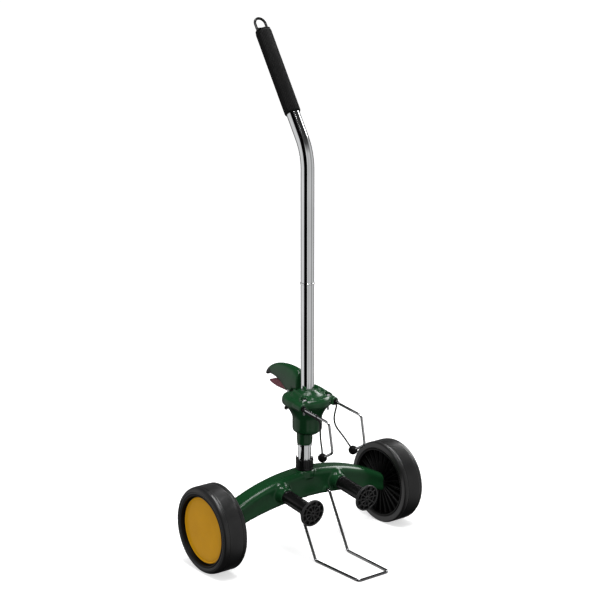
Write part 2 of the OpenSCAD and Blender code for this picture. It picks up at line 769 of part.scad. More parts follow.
module hang_loop() color(black) place() {
    half = 14.2;
    band = 4.6;
    on_handle() {
        translate([0, 0, grip_end - 26]) cylinder(r = bore_r, h = 26);
        translate([0, 0, grip_end]) cylinder(r = 14.6, h = 2.6);
        translate([0, 2, grip_end + 2]) rotate([90, 0, 0]) linear_extrude(4) difference() {
            union() {
                translate([-half, 0]) square([2 * half, loop_len - 2 - half]);
                translate([0, loop_len - 2 - half]) circle(half);
            }
            translate([0, loop_len - 2 - half]) circle(half - band);
            translate([band - half, 5]) square([2 * (half - band), loop_len - 7 - half]);
        }
    }
}

// ---- Wire hooks and their elastic cords ----

module arm_wire(side) color(chrome) place() {
    root = [arm_x, root_y + 26 * cos(root_dip), root_z + 26 * sin(root_dip)];
    wire([for (p = [root, arm_front, arm_low, arm_end]) on_side(p, side)], 9, arm_d / 2);
}
module left_arm_wire() { arm_wire(-1); }
module right_arm_wire() { arm_wire(1); }

module arm_bush(side) color(black) place() {
    on_root(side) difference() {
        union() {
            translate([0, 0, -15]) cylinder(r = 4.5, h = 15);
            cylinder(r = 5.4, h = 1.4);
        }
        translate([0, 0, -20]) cylinder(r = arm_d / 2 + 0.03, h = 30);
    }
}
module left_arm_bush() { arm_bush(-1); }
module right_arm_bush() { arm_bush(1); }

// Short sleeve on the hook's wire with a socket for the start of the cord
module cord_ferrule(side, route) color(black) place() {
    difference() {
        on_root(side) translate([0, 0, 1.8]) cylinder(r = 4.6, h = 5);
        on_root(side) translate([0, 0, -1]) cylinder(r = arm_d / 2 - 0.01, h = 12);
        rod(route[0] - unit(route[1] - route[0]) * (side > 0 ? 0.6 : 4), route[1], cord_d / 2 + 0.1);
    }
}
module left_cord_ferrule() {
    cord_ferrule(-1, left_route);
    // Keeper that ties the left cord to the wire further out
    color(black) place() on_root(-1) translate([0, 0, 40]) difference() {
        union() {
            cylinder(r = 3.6, h = 5);
            translate([0, -4.5, 0]) cylinder(r = 2.9, h = 5);
        }
        translate([0, 0, -1]) cylinder(r = arm_d / 2, h = 7);
        translate([0, -4.6, -1]) cylinder(r = cord_d / 2 + 0.15, h = 7);
    }
}
module right_cord_ferrule() { cord_ferrule(1, right_route); }

module ball(side) color(black) place() {
    end = on_side(arm_end, side);
    low = on_side(arm_low, side);
    difference() {
        translate(on_side(ball_at, side)) sphere(ball_d / 2);
        rod(end - unit(low - end) * 0.1, low, arm_d / 2 - 0.02);
    }
}
module left_ball() { ball(-1); }
module right_ball() { ball(1); }

module left_cord() color(black) place() { swept(left_route, cord_d / 2, 8); }
module right_cord() color(black) place() { swept(right_route, cord_d / 2, 8); }

// ---- Lower pegs ----

module peg(side) color(black) place() {
    disc_r = disc_d / 2;
    disc_t = 5;
    on_peg(side) {
        difference() {
            union() {
                translate([0, 0, peg_boss_len]) cylinder(r = peg_d / 2, h = peg_len - peg_boss_len);
                translate([0, 0, peg_len - 8]) cylinder(r1 = peg_d / 2, r2 = peg_d / 2 + 4, h = 8);
            }
            translate([0, 0, peg_boss_len + 20]) cylinder(r = peg_d / 2 - 3, h = peg_len);
            translate([0, 0, peg_boss_len - 1]) cylinder(r = 2, h = 18);
        }
        translate([0, 0, peg_len]) {
            // Web behind the lattice of the disc
            difference() {
                cylinder(r = disc_r - 0.5, h = 1.4);
                translate([0, 0, -1]) cylinder(r = peg_d / 2 - 3, h = 4);
            }
            for (ring = [[disc_r - 3, disc_r], [disc_r - 11, disc_r - 9], [2.2, 5]]) difference() {
                cylinder(r = ring[1], h = disc_t);
                translate([0, 0, -1]) cylinder(r = ring[0], h = disc_t + 2);
            }
            for (i = [0 : 9]) rotate(36 * i) translate([4, -1, 0]) cube([disc_r - 5, 2, disc_t]);
        }
    }
}
module left_peg() { peg(-1); }
module right_peg() { peg(1); }

module peg_screws() color(steel) place() {
    for (s = [-1, 1]) on_peg(s) {
        translate([0, 0, -12]) cylinder(r = 2, h = peg_boss_len + 26);
        translate([0, 0, -15]) cylinder(r = 4.2, h = 3);
    }
}

// ---- Foot ----

module foot_wire() color(chrome) place() {
    front = -foot_reach;
    knee = [foot_x, -90, foot_r];
    toe = [36, front, foot_r];
    half_line = [[foot_x, 1, foot_stub_z], [foot_x, -32, foot_stub_z], knee, toe];
    wire(concat(half_line, [for (i = [3 : -1 : 0]) on_side(half_line[i], -1)]), 7, foot_r);
}

beam_shell();
beam_base_plate();
base_plate_screws();
left_axle_pin();
right_axle_pin();
thrust_washers();
wheel_push_nuts();
left_tyre();
right_tyre();
left_wheel_rim();
right_wheel_rim();
left_hub_cap();
right_hub_cap();
left_wheel_bush();
right_wheel_bush();
pole_collar();
lower_tube();
tube_plug();
tube_bolt();
neck_washer();
joint_body();
joint_cover();
cover_screws();
cord_anchors();
beak_hook();
beak_tip();
release_lever();
lever_tip();
lever_pin();
lever_spring();
lock_plunger();
lower_pole();
pole_ring();
handle_tube();
hand_grip();
hang_loop();
left_arm_wire();
right_arm_wire();
left_arm_bush();
right_arm_bush();
left_cord_ferrule();
right_cord_ferrule();
left_ball();
right_ball();
left_cord();
right_cord();
left_peg();
right_peg();
peg_screws();
foot_wire();
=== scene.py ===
"""Looks of a two-wheeled upright carrier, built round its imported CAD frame.

Shapes are made in millimetres with the wheels' axle line at y = 0 and the floor at z = 0, and are
placed in the frame in metres.
"""

import json
from math import cos, pi, radians, sin, sqrt, tan

import bmesh
import bpy
from mathutils import Matrix, Vector


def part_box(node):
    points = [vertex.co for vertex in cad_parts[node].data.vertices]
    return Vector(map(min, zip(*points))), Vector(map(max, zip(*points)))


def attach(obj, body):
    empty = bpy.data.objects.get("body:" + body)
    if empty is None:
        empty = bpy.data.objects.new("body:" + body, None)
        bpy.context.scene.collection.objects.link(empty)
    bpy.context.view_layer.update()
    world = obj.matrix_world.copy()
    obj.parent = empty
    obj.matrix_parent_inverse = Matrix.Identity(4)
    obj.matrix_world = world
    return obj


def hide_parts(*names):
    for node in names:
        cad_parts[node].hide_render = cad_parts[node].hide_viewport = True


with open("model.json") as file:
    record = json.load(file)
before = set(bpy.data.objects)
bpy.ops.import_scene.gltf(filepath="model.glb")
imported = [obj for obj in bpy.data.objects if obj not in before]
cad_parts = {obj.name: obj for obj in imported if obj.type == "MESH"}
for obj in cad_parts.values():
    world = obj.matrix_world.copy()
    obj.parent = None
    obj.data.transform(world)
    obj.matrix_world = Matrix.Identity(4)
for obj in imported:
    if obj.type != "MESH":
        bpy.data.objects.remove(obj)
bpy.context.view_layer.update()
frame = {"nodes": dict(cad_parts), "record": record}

# ---- Sizes, in millimetres, that the shapes share ----

MM = 0.001
tyre_low, tyre_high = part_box("left_tyre")
AXLE_Y = (tyre_low.y + tyre_high.y) / 2
TO_ROW = Matrix.Translation((0, AXLE_Y, 0)) @ Matrix.Scale(MM, 4)

WHEEL_R = (tyre_high.z - tyre_low.z) / 2 / MM
TYRE_HALF = (tyre_high.x - tyre_low.x) / 2 / MM
TRACK = -(tyre_high.x + tyre_low.x) / MM
BARREL_R = WHEEL_R - 13.4
BARREL_WALL = 3.4
HUB_R = 15
CAP_R = 63.3
CAP_FACE = TYRE_HALF - 8

BEAM_HALF = 22
BEAM_TOP = 154
BEAM_TOP_R = 400
BEAM_LOW = 101.3
BEAM_LOW_R = 600
BEAM_END = 189.5
BEAM_STEP = 4
STUB_START = 150
CAVITY_END = 142
WALL = 3

TUBE_R = 12.7
LOW_TUBE_Y = -4.6
POLE_Y = -12.8
SEAM_Z = 526
BEND_Z = 769
BEND_R = 107
LEAN = 32.3
GRIP_START = 81
GRIP_END = 254
GRIP_R = 15.5
LOOP_LEN = 29

PART_Z = 290
DRUM_R = 48.5
DRUM_TOP = 317
LEVER_PIN = (28, 306)
SCREW_X, SCREW_Y = 29, -40

ARM_X = 38.7
ARM_R = 2.5
ROOT_Y, ROOT_Z, ROOT_DIP = -50, 293.6, 6.4
BALL = (37, -106, 212)
BALL_R = 9
CORD_R = 1.65

PEG_X, PEG_Z, PEG_DIP = 66, 123, 7.1
PEG_R = 13.5
PEG_BOSS = 15
PEG_LEN = 89
DISC_R = 26
DISC_T = 5

FOOT_R = 2.75
FOOT_X, FOOT_Z = 39.5, 109
FOOT_FRONT = -213

SIDES = ((-1, "left"), (1, "right"))

# ---- Camera, at the photograph's viewing angle ----

CAMERA_AZIMUTH = radians(-37.79)
CAMERA_ELEVATION = radians(13.41)
CAMERA_DISTANCE = 2.977
CAMERA_TARGET = Vector((-0.0076, AXLE_Y, 0.4899))
CAMERA_LENS = 94.85
CAMERA_SENSOR = 36


def new_object(name, data):
    obj = bpy.data.objects.new(name, data)
    bpy.context.scene.collection.objects.link(obj)
    return obj


def make_camera():
    back = Vector((sin(CAMERA_AZIMUTH) * cos(CAMERA_ELEVATION),
                   -cos(CAMERA_AZIMUTH) * cos(CAMERA_ELEVATION), sin(CAMERA_ELEVATION)))
    right = Vector((cos(CAMERA_AZIMUTH), sin(CAMERA_AZIMUTH), 0))
    axes = Matrix((right, back.cross(right), back)).transposed().to_4x4()
    data = bpy.data.cameras.new("camera")
    data.lens = CAMERA_LENS
    data.sensor_width = CAMERA_SENSOR
    camera = new_object("camera", data)
    camera.matrix_world = Matrix.Translation(CAMERA_TARGET + back * CAMERA_DISTANCE) @ axes
    bpy.context.scene.camera = camera


make_camera()

# ---- Shape tools ----


class Shape:
    """Points in millimetres and the faces between them."""

    def __init__(self):
        self.points = []
        self.faces = []

    def point(self, p):
        self.points.append(Vector(p))
        return len(self.points) - 1

    def add(self, other, matrix=None):
        start = len(self.points)
        self.points += [matrix @ p if matrix else p for p in other.points]
        self.faces += [[start + i for i in face] for face in other.faces]
        return self


def merged(*shapes):
    whole = Shape()
    for shape in shapes:
        whole.add(shape)
    return whole


def moved(shape, matrix):
    return Shape().add(shape, matrix)


def skin(rings, closed=False):
    """A surface over rings of points. A ring of one point is a tip, and open ends are capped."""
    shape = Shape()
    ids = [[shape.point(p) for p in ring] for ring in rings]
    for low, high in zip(ids, ids[1:] + ids[:1] if closed else ids[1:]):
        for k in range(max(len(low), len(high))):
            quad = (low[k % len(low)], low[(k + 1) % len(low)],
                    high[(k + 1) % len(high)], high[k % len(high)])
            face = list(dict.fromkeys(quad))
            if len(face) > 2:
                shape.faces.append(face)
    if not closed:
        shape.faces += [ring for ring in (ids[0][::-1], ids[-1]) if len(ring) > 2]
    return shape


def rounded(points, radius, steps=5, closed=False):
    """A line or outline with its corners rounded. radius may be one number or one for each point."""
    line = []
    last = len(points) - 1
    for i, p in enumerate(points):
        here = Vector(p)
        r = radius[i] if isinstance(radius, (list, tuple)) else radius
        a = Vector(points[i - 1]) - here
        b = Vector(points[(i + 1) % len(points)]) - here
        if r == 0 or (not closed and i in (0, last)) or a.angle(b) > pi - 0.01:
            line.append(here)
            continue
        half = a.angle(b) / 2
        cut = min(r / tan(half), 0.49 * a.length, 0.49 * b.length)
        a.normalize()
        b.normalize()
        centre = here + (a + b).normalized() * cut / cos(half)
        u, v = here + a * cut - centre, here + b * cut - centre
        turn = u.angle(v)
        line += [centre + (u * sin(turn * (1 - k / steps)) + v * sin(turn * k / steps)) / sin(turn)
                 for k in range(steps + 1)]
    return line


def smooth_line(points, steps):
    """A smooth curve through the points, with so many steps from each to the next."""
    p = [Vector(q) for q in points]
    p = [2 * p[0] - p[1]] + p + [2 * p[-1] - p[-2]]
    line = []
    for a, b, c, d in zip(p, p[1:], p[2:], p[3:]):
        for k in range(steps):
            t = k / steps
            line.append(0.5 * (2 * b + (c - a) * t + (2 * a - 5 * b + 4 * c - d) * t ** 2
                               + (3 * b - a - 3 * c + d) * t ** 3))
    return line + [p[-2]]


def circle(r, sides):
    return [(r * cos(2 * pi * k / sides), r * sin(2 * pi * k / sides)) for k in range(sides)]


def oblong(w, h, r, steps=3):
    """The outline of a rectangle with rounded corners."""
    x, y = w / 2, h / 2
    return rounded([(-x, -y), (x, -y), (x, y), (-x, y)], r, steps, closed=True)


def lathe(profile, sides=96, closed=False):
    """A profile of (radius, height) points turned round the Z axis."""
    rings = []
    for r, z in profile:
        if r < 1e-6:
            rings.append([(0, 0, z)])
        else:
            rings.append([(x, y, z) for x, y in circle(r, sides)])
    return skin(rings, closed)


def sweep(line, section):
    """A section carried along a line without twist."""
    p = [Vector(q) for q in line]
    last = len(p) - 1
    ways = [(p[min(i + 1, last)] - p[max(i - 1, 0)]).normalized() for i in range(last + 1)]
    flat = Vector((1, 0, 0)) if abs(ways[0].x) < 0.9 else Vector((0, 0, 1))
    normal = (flat - ways[0] * flat.dot(ways[0])).normalized()
    rings = []
    for i, here in enumerate(p):
        if i:
            normal = ways[i - 1].rotation_difference(ways[i]) @ normal
        side = ways[i].cross(normal)
        rings.append([here + normal * a + side * b for a, b in section])
    return skin(rings)


def tube(line, r, sides=32):
    return sweep(line, circle(r, sides))


def inset(outline, d):
    """An outline drawn in by d."""
    p = [Vector(q) for q in outline]
    area = sum(a.x * b.y - b.x * a.y for a, b in zip(p, p[1:] + p[:1]))
    turn = d if area > 0 else -d
    inner = []
    for i, here in enumerate(p):
        way = (p[(i + 1) % len(p)] - p[i - 1]).normalized()
        inner.append(here + Vector((-way.y, way.x)) * turn)
    return inner


def slab(outline, height, edge=0.5, steps=3):
    """A plate that stands on an outline, with rounded edges."""
    rings = []
    for k in range(steps + 1):
        a = pi / 2 * k / steps
        rings.append([(x, y, edge * (1 - cos(a))) for x, y in inset(outline, edge * (1 - sin(a)))])
    rings += [[(x, y, height - z) for x, y, z in ring] for ring in reversed(rings)]
    return skin(rings)


def side_plate(outline, half):
    """A solid with an outline in Y and Z, as wide at each point as the function half says."""
    return skin([[(s * half(y), y, z) for y, z in outline] for s in (-1, 1)])


def turned(angle, axis):
    return Matrix.Rotation(radians(angle), 4, axis)


def on_wheel(side):
    return Matrix.Translation((side * TRACK / 2, 0, WHEEL_R)) @ turned(side * 90, "Y")


def on_root(side):
    return Matrix.Translation((side * ARM_X, ROOT_Y, ROOT_Z)) @ turned(90 + ROOT_DIP, "X")


def on_screw(side):
    return Matrix.Translation((side * SCREW_X, SCREW_Y, 0))


def on_peg(side):
    return Matrix.Translation((side * PEG_X, -BEAM_HALF, PEG_Z)) @ turned(90 + PEG_DIP, "X")


ON_HANDLE = Matrix.Translation((0, POLE_Y, BEND_Z)) @ turned(-LEAN, "X")
ON_POLE = Matrix.Translation((0, POLE_Y, 0))
ON_LOW_TUBE = Matrix.Translation((0, LOW_TUBE_Y, 0))

# ---- Materials ----


def ramp_node(tree, value, stops):
    """A colour for each value, between stops of (place, colour)."""
    node = tree.nodes.new("ShaderNodeValToRGB")
    bands = node.color_ramp.elements
    while len(bands) < len(stops):
        bands.new(0.5)
    for band, (at, colour) in zip(bands, stops):
        band.position = at
        band.color = (*colour, 1)
    tree.links.new(value, node.inputs["Fac"])
    return node.outputs["Color"]


def math_node(tree, operation, *values):
    """A maths node on sockets and plain numbers."""
    node = tree.nodes.new("ShaderNodeMath")
    node.operation = operation
    for value, socket in zip(values, node.inputs):
        if isinstance(value, (int, float)):
            socket.default_value = value
        else:
            tree.links.new(value, socket)
    return node.outputs[0]


class Paint:
    """A material whose colour, gloss and relief vary with procedural noise."""

    def __init__(self, name, rough, metal=0.0, specular=0.5):
        self.material = bpy.data.materials.new(name)
        self.material.use_nodes = True
        self.tree = self.material.node_tree
        self.nodes, self.links = self.tree.nodes, self.tree.links
        self.shader = self.nodes["Principled BSDF"]
        self.shader.inputs["Metallic"].default_value = metal
        self.shader.inputs["Roughness"].default_value = rough
        self.shader.inputs["Specular IOR Level"].default_value = specular
        self.place = self.nodes.new("ShaderNodeTexCoord").outputs["Object"]

    def stretched(self, scale):
        mapping = self.nodes.new("ShaderNodeMapping")
        mapping.inputs["Scale"].default_value = scale
        self.links.new(self.place, mapping.inputs["Vector"])
        return mapping.outputs["Vector"]

    def noise(self, scale, detail, place=None):
        node = self.nodes.new("ShaderNodeTexNoise")
        node.inputs["Scale"].default_value = scale
        node.inputs["Detail"].default_value = detail
        self.links.new(place or self.place, node.inputs["Vector"])
        return node.outputs["Fac"]

    def colour(self, value, dark, light, low=0.3, high=0.7):
        colours = ramp_node(self.tree, value, [(low, dark), (high, light)])
        self.links.new(colours, self.shader.inputs["Base Color"])
        return self

    def gloss(self, value, low, high):
        node = self.nodes.new("ShaderNodeMapRange")
        node.inputs["To Min"].default_value = low
        node.inputs["To Max"].default_value = high
        self.links.new(value, node.inputs["Value"])
        self.links.new(node.outputs["Result"], self.shader.inputs["Roughness"])
        return self

    def relief(self, value, strength, depth):
        node = self.nodes.new("ShaderNodeBump")
        node.inputs["Strength"].default_value = strength
        node.inputs["Distance"].default_value = depth
        self.links.new(value, node.inputs["Height"])
        previous = self.shader.inputs["Normal"].links
        if previous:
            self.links.new(previous[0].from_socket, node.inputs["Normal"])
        self.links.new(node.outputs["Normal"], self.shader.inputs["Normal"])
        return self


def moulded(name, dark, light, rough, grain=0.1, specular=0.5):
    """Moulded plastic or rubber: faint cloudiness, a fine grain and uneven gloss."""
    paint = Paint(name, rough, specular=specular)
    paint.colour(paint.noise(18, 4), dark, light)
    paint.gloss(paint.noise(90, 5), rough * 0.85, rough * 1.15)
    return paint.relief(paint.noise(1400, 2), grain, 0.0003)


def metal(name, dark, light, rough, brushed):
    """Plated metal: faint clouding, uneven gloss and fine lines along Z."""
    paint = Paint(name, rough, metal=1.0)
    paint.colour(paint.noise(12, 4), dark, light)
    paint.gloss(paint.noise(60, 6), rough * 0.6, rough * 1.6)
    return paint.relief(paint.noise(300, 3, paint.stretched((1, 1, 0.04))), brushed, 0.0002)


def speckled(name):
    """Dark red soft plastic with fine, pale pink flecks."""
    paint = Paint(name, 0.42, specular=0.4)
    flecks = paint.noise(900, 1)
    paint.colour(flecks, (0.14, 0.012, 0.026), (0.46, 0.17, 0.21), 0.53, 0.70)
    return paint.relief(flecks, 0.5, 0.0004)


def braided(name):
    """Elastic cord in a fine two-way braid."""
    paint = Paint(name, 0.8, specular=0.25)
    strands = []
    for way in ((1, 1, 1), (1, -1, 1)):
        wave = paint.nodes.new("ShaderNodeTexWave")
        wave.bands_direction = "DIAGONAL"
        wave.inputs["Scale"].default_value = 260
        wave.inputs["Distortion"].default_value = 0.6
        paint.links.new(paint.stretched(way), wave.inputs["Vector"])
        strands.append(wave.outputs["Fac"])
    braid = math_node(paint.tree, "MAXIMUM", *strands)
    paint.colour(braid, (0.003, 0.003, 0.003), (0.022, 0.022, 0.023), 0.4, 0.9)
    return paint.relief(braid, 0.8, 0.0004)


def grey(level):
    return level, level, level * 1.02


# The record's slots, and variants of them that single pieces wear
PAINTS = {
    "green_plastic": moulded("green_plastic", (0.006, 0.044, 0.013), (0.010, 0.056, 0.019), 0.2, 0.05,
                             0.32),
    "yellow_plastic": moulded("yellow_plastic", (0.74, 0.35, 0.003), (0.84, 0.41, 0.005), 0.36, 0.12,
                              0.12),
    "black_plastic": moulded("black_plastic", grey(0.003), grey(0.006), 0.24, 0.15, 0.36),
    # Black plastic painted lighter for the peg lattices: painted light on their ring and spoke faces
    "black_plastic_painted_lit": moulded("black_plastic_painted_lit", grey(0.010), grey(0.028), 0.3, 0.3, 0.45),
    "rim_plastic": moulded("rim_plastic", grey(0.002), grey(0.005), 0.45, 0.2, 0.16),
    "tyre_rubber": moulded("tyre_rubber", grey(0.010), grey(0.016), 0.31, 0.2, 0.5),
    "grip_rubber": moulded("grip_rubber", grey(0.0015), grey(0.004), 0.5, 0.5, 0.1),
    "maroon_rubber": speckled("maroon_rubber"),
    "nylon": moulded("nylon", (0.62, 0.60, 0.54), (0.72, 0.70, 0.64), 0.45),
    "elastic_cord": braided("elastic_cord"),
    "chrome": metal("chrome", (0.78, 0.79, 0.80), (0.86, 0.87, 0.88), 0.06, 0.02),
    # Chrome painted darker for the hook wires: painted shade, standing in for the dark surroundings that
    # the wires reflect
    "hook_chrome_painted_shade": metal("hook_chrome_painted_shade", grey(0.46), grey(0.56), 0.07, 0.02),
    # Chrome painted darker still for the foot wire: painted shade, standing in for the dark surroundings
    # that the wire reflects
    "foot_chrome_painted_shade": metal("foot_chrome_painted_shade", grey(0.28), grey(0.36), 0.08, 0.03),
    "steel": metal("steel", (0.48, 0.49, 0.50), (0.62, 0.63, 0.64), 0.26, 0.25),
    # Steel painted darker for the cover screws: painted shade for the screws at the bottom of their
    # wells
    "steel_painted_shade": metal("steel_painted_shade", grey(0.20), grey(0.30), 0.3, 0.1),
}
for part in frame["record"]["subparts"]:
    node = frame["nodes"][part["node"]]
    node.data.materials.clear()
    node.data.materials.append(PAINTS[part["material_slot"]].material)

# ---- From shapes to pieces ----

SHARP = radians(38)


def make_object(name, shape):
    mesh = bpy.data.meshes.new(name)
    mesh.from_pydata([TO_ROW @ p for p in shape.points], [], shape.faces)
    form = bmesh.new()
    form.from_mesh(mesh)
    bmesh.ops.remove_doubles(form, verts=form.verts, dist=1e-6)
    bmesh.ops.recalc_face_normals(form, faces=form.faces)
    form.to_mesh(mesh)
    form.free()
    return new_object(name, mesh)


def apply_modifiers(obj):
    bpy.context.view_layer.update()
    final = bpy.data.meshes.new_from_object(obj.evaluated_get(bpy.context.evaluated_depsgraph_get()))
    obj.modifiers.clear()
    obj.data = final


def finish_piece(obj, body, slot, nodes, sharp=SHARP, paint=None):
    obj.data.shade_smooth()
    if sharp:
        obj.data.set_sharp_from_angle(angle=sharp)
    obj.data.materials.clear()
    obj.data.materials.append(PAINTS[paint or slot].material)
    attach(obj, body)
    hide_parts(*nodes)
    return obj


def piece(name, shape, body, slot, nodes, sharp=SHARP, paint=None):
    return finish_piece(make_object(name, shape), body, slot, nodes, sharp, paint)


def fused(name, shape, body, slot, nodes, cuts, grain, softness):
    """Overlapping shapes fused into one moulded skin, cut, and softened where they meet."""
    obj = make_object(name, shape)
    scratch = []

    def remesh():
        step = obj.modifiers.new("remesh", "REMESH")
        step.mode = "VOXEL"
        step.voxel_size = grain * MM

    remesh()
    for cut in cuts:
        cutter = make_object("cutter", cut)
        step = obj.modifiers.new("cut", "BOOLEAN")
        step.operation = "DIFFERENCE"
        step.solver = "MANIFOLD"
        step.object = cutter
        scratch.append(cutter)
    remesh()
    step = obj.modifiers.new("soften", "SMOOTH")
    step.factor = 0.5
    step.iterations = softness
    apply_modifiers(obj)
    for cutter in scratch:
        bpy.data.objects.remove(cutter)
    return finish_piece(obj, body, slot, nodes, sharp=None)


# ---- Elastic cords ----

RIGHT_ROUTE = [
    (38.7, -54, 288.3), (38.7, -53, 283), (38.7, -50.5, 276), (38.7, -48, 268),
    (38.7, -47, 259), (38.7, -49, 250.5), (38.6, -55, 243), (38.4, -64, 237.5),
    (38, -75, 231.5), (37.6, -86, 224.5), (37.2, -94, 219.4), (37.1, -98.2, 216.8)]
LEFT_ROUTE = [
    (-38.7, -54, 288.3), (-38.7, -60, 287.7), (-38.7, -68, 286.9), (-38.7, -76, 286),
    (-38.7, -84, 285.1), (-38.7, -89, 284.6), (-38.7, -94.6, 284), (-38.7, -99, 281.4),
    (-38.6, -101.2, 276.5), (-38.6, -101.6, 268.5), (-38.5, -101.4, 259), (-38.2, -101.6, 249),
    (-37.8, -103, 239), (-37.4, -104.8, 229), (-37.2, -105.6, 220.9)]


def make_ball(side, name):
    """A rubber ball with a moulding line round it."""
    seam, sides = 0.35, 48
    profile = []
    for k in range(sides + 1):
        a = pi * k / sides - pi / 2
        proud = seam if abs(k - sides / 2) < 1 else 0
        profile.append((max(0, (BALL_R - seam + proud) * cos(a)), (BALL_R - seam + proud) * sin(a)))
    place = Matrix.Translation((side * BALL[0], BALL[1], BALL[2])) @ turned(20, "X")
    return piece(name + "_rubber_ball", moved(lathe(profile, 64), place), name + "_arm",
                 "grip_rubber", [name + "_ball"])


def make_cord(name, route, ball):
    line = smooth_line(route, 3)
    obj = piece(name + "_elastic_cord", tube(line, CORD_R, 20), name + "_arm", "elastic_cord",
                [name + "_cord"])


make_cord("right", RIGHT_ROUTE, make_ball(1, "right"))
make_cord("left", LEFT_ROUTE, make_ball(-1, "left"))

# ---- Wheels ----


def make_tyre(side, name):
    w, r, inner = TYRE_HALF, WHEEL_R, BARREL_R
    outer_side = [(inner, w - 2), (inner + 1.4, w - 0.6), (inner + 3, w - 0.5), (inner + 3.6, w - 1.1),
                  (inner + 4.2, w - 0.5), (inner + 5.4, w), (r - 8.6, w), (r - 5.4, w - 0.9),
                  (r - 2.6, w - 3), (r - 1, w - 5.8), (r - 0.35, w - 8.8), (r - 0.25, w - 9.4),
                  (r - 1, w - 10), (r - 1, w - 10.7), (r - 0.2, w - 11.3), (r, w - 13)]
    inner_side = [(r, 10 - w), (r - 0.9, 9.6 - w), (r - 0.9, 9 - w), (r, 8.6 - w), (r, 2.4 - w),
                  (r - 2.4, -w), (inner + 2, -w), (inner, 1.5 - w)]
    outline = rounded(outer_side + inner_side, 1.2, 3, closed=True)
    piece(name + "_tyre_body", moved(lathe(outline, 192, closed=True), on_wheel(side)),
          name + "_wheel", "tyre_rubber", [name + "_tyre"], radians(50))


def make_rim(side, name):
    inner, outer, w = BARREL_R - BARREL_WALL, BARREL_R, TYRE_HALF
    barrel = rounded([(inner, -w + 0.3), (outer, -w + 0.3), (outer, w - 1), (inner, w - 1),
                      (inner, CAP_FACE - 2.4), (inner - 2, CAP_FACE - 3), (inner - 2, CAP_FACE - 6),
                      (inner, CAP_FACE - 7)], 0.7, 3, closed=True)
    web = rounded([(HUB_R - 1, 4.5), (inner + 1, 4.5), (inner + 1, 7.5), (HUB_R - 1, 7.5)], 0.3, 2, True)
    hub = rounded([(9, 2 - w), (HUB_R - 1.5, 2 - w), (HUB_R + 1, 4.5), (HUB_R, 7), (9, 7)], 1, 3, True)
    ring = rounded([(40, 9 - w), (42, 9 - w), (42.4, 5), (39.6, 5)], 0.8, 3, closed=True)
    whole = merged(*(lathe(p, 160, closed=True) for p in (barrel, web, hub, ring)))

    def rib(start, end, foot, thick, angle):
        """A thin upright rib along a radius, with a rounded edge."""
        depth = w + 5 - foot
        outline = oblong(end - start, thick, thick * 0.35, 2)
        rings = [[(x + (start + end) / 2, y * s, z) for x, y in outline]
                 for s, z in ((0.5, foot - w), (0.9, foot - w + 0.4), (1, foot - w + 1),
                              (1.15, foot - w + depth))]
        return moved(skin(rings), turned(angle, "Z"))

    pairs = 24
    for i in range(pairs):
        angle = 360 * i / pairs
        whole.add(rib(HUB_R - 1, inner + 1, 5, 1.7, angle - 2.2))
        whole.add(rib(HUB_R + 6, inner + 1, 6.5, 1.3, angle + 2.2))
    piece(name + "_rim_moulding", moved(whole, on_wheel(side)), name + "_wheel", "black_plastic",
          [name + "_wheel_rim"], paint="rim_plastic")


def make_cap(side, name):
    """A shallow domed disc with a rolled edge, and the snap legs behind it."""
    profile = [(0, CAP_FACE + 1.5), (20, CAP_FACE + 1.35), (40, CAP_FACE + 0.85), (54, CAP_FACE + 0.2),
               (58.6, CAP_FACE - 0.1), (59.4, CAP_FACE - 0.7), (60.2, CAP_FACE - 0.1),
               (61.4, CAP_FACE + 0.5), (62.6, CAP_FACE + 0.2), (CAP_R, CAP_FACE - 0.8),
               (CAP_R, CAP_FACE - 2.4), (60.5, CAP_FACE - 2.6), (0, CAP_FACE - 2.2)]
    whole = lathe(rounded(profile, 0.8, 3), 192)
    leg = slab(oblong(2.2, 8, 0.6), CAP_FACE - 9.8, 0.4)
    for i in range(4):
        whole.add(leg, turned(90 * i + 45, "Z") @ Matrix.Translation((BARREL_R - 31, 0, 7.8)))
    piece(name + "_cap_disc", moved(whole, on_wheel(side)), name + "_wheel", "yellow_plastic",
          [name + "_hub_cap"])


for side_sign, side_name in SIDES:
    make_tyre(side_sign, side_name)
    make_rim(side_sign, side_name)
    make_cap(side_sign, side_name)

# ---- Beam ----


def top_at(x):
    return BEAM_TOP - BEAM_TOP_R + sqrt(BEAM_TOP_R ** 2 - x * x)


def low_at(x):
    return BEAM_LOW - BEAM_LOW_R + sqrt(BEAM_LOW_R ** 2 - x * x)


def beam_section(x, shrink=0.0):
    """The beam's outline at x: broad upper edges, slightly hollow faces, small lower edges."""
    half, top, low = BEAM_HALF - shrink, top_at(x) - shrink, low_at(x) + shrink
    hollow, steps = 1.3, 8
    side = [(half - hollow * sin(pi * k / steps), low + 7 + (top - 11 - low - 7) * k / steps)
            for k in range(steps + 1)]
    corner_top = [(half - 11 + 11 * cos(a), top - 11 + 11 * sin(a))
                  for a in (pi / 2 * k / 8 for k in range(1, 9))]
    corner_low = [(half - 7 + 7 * cos(a), low + 7 + 7 * sin(a))
                  for a in (-pi / 2 + pi / 2 * k / 5 for k in range(5))]
    front = corner_low + side + corner_top
    outline = front + [(-y, z) for y, z in reversed(front)]
    return [(x, y, z) for y, z in outline]


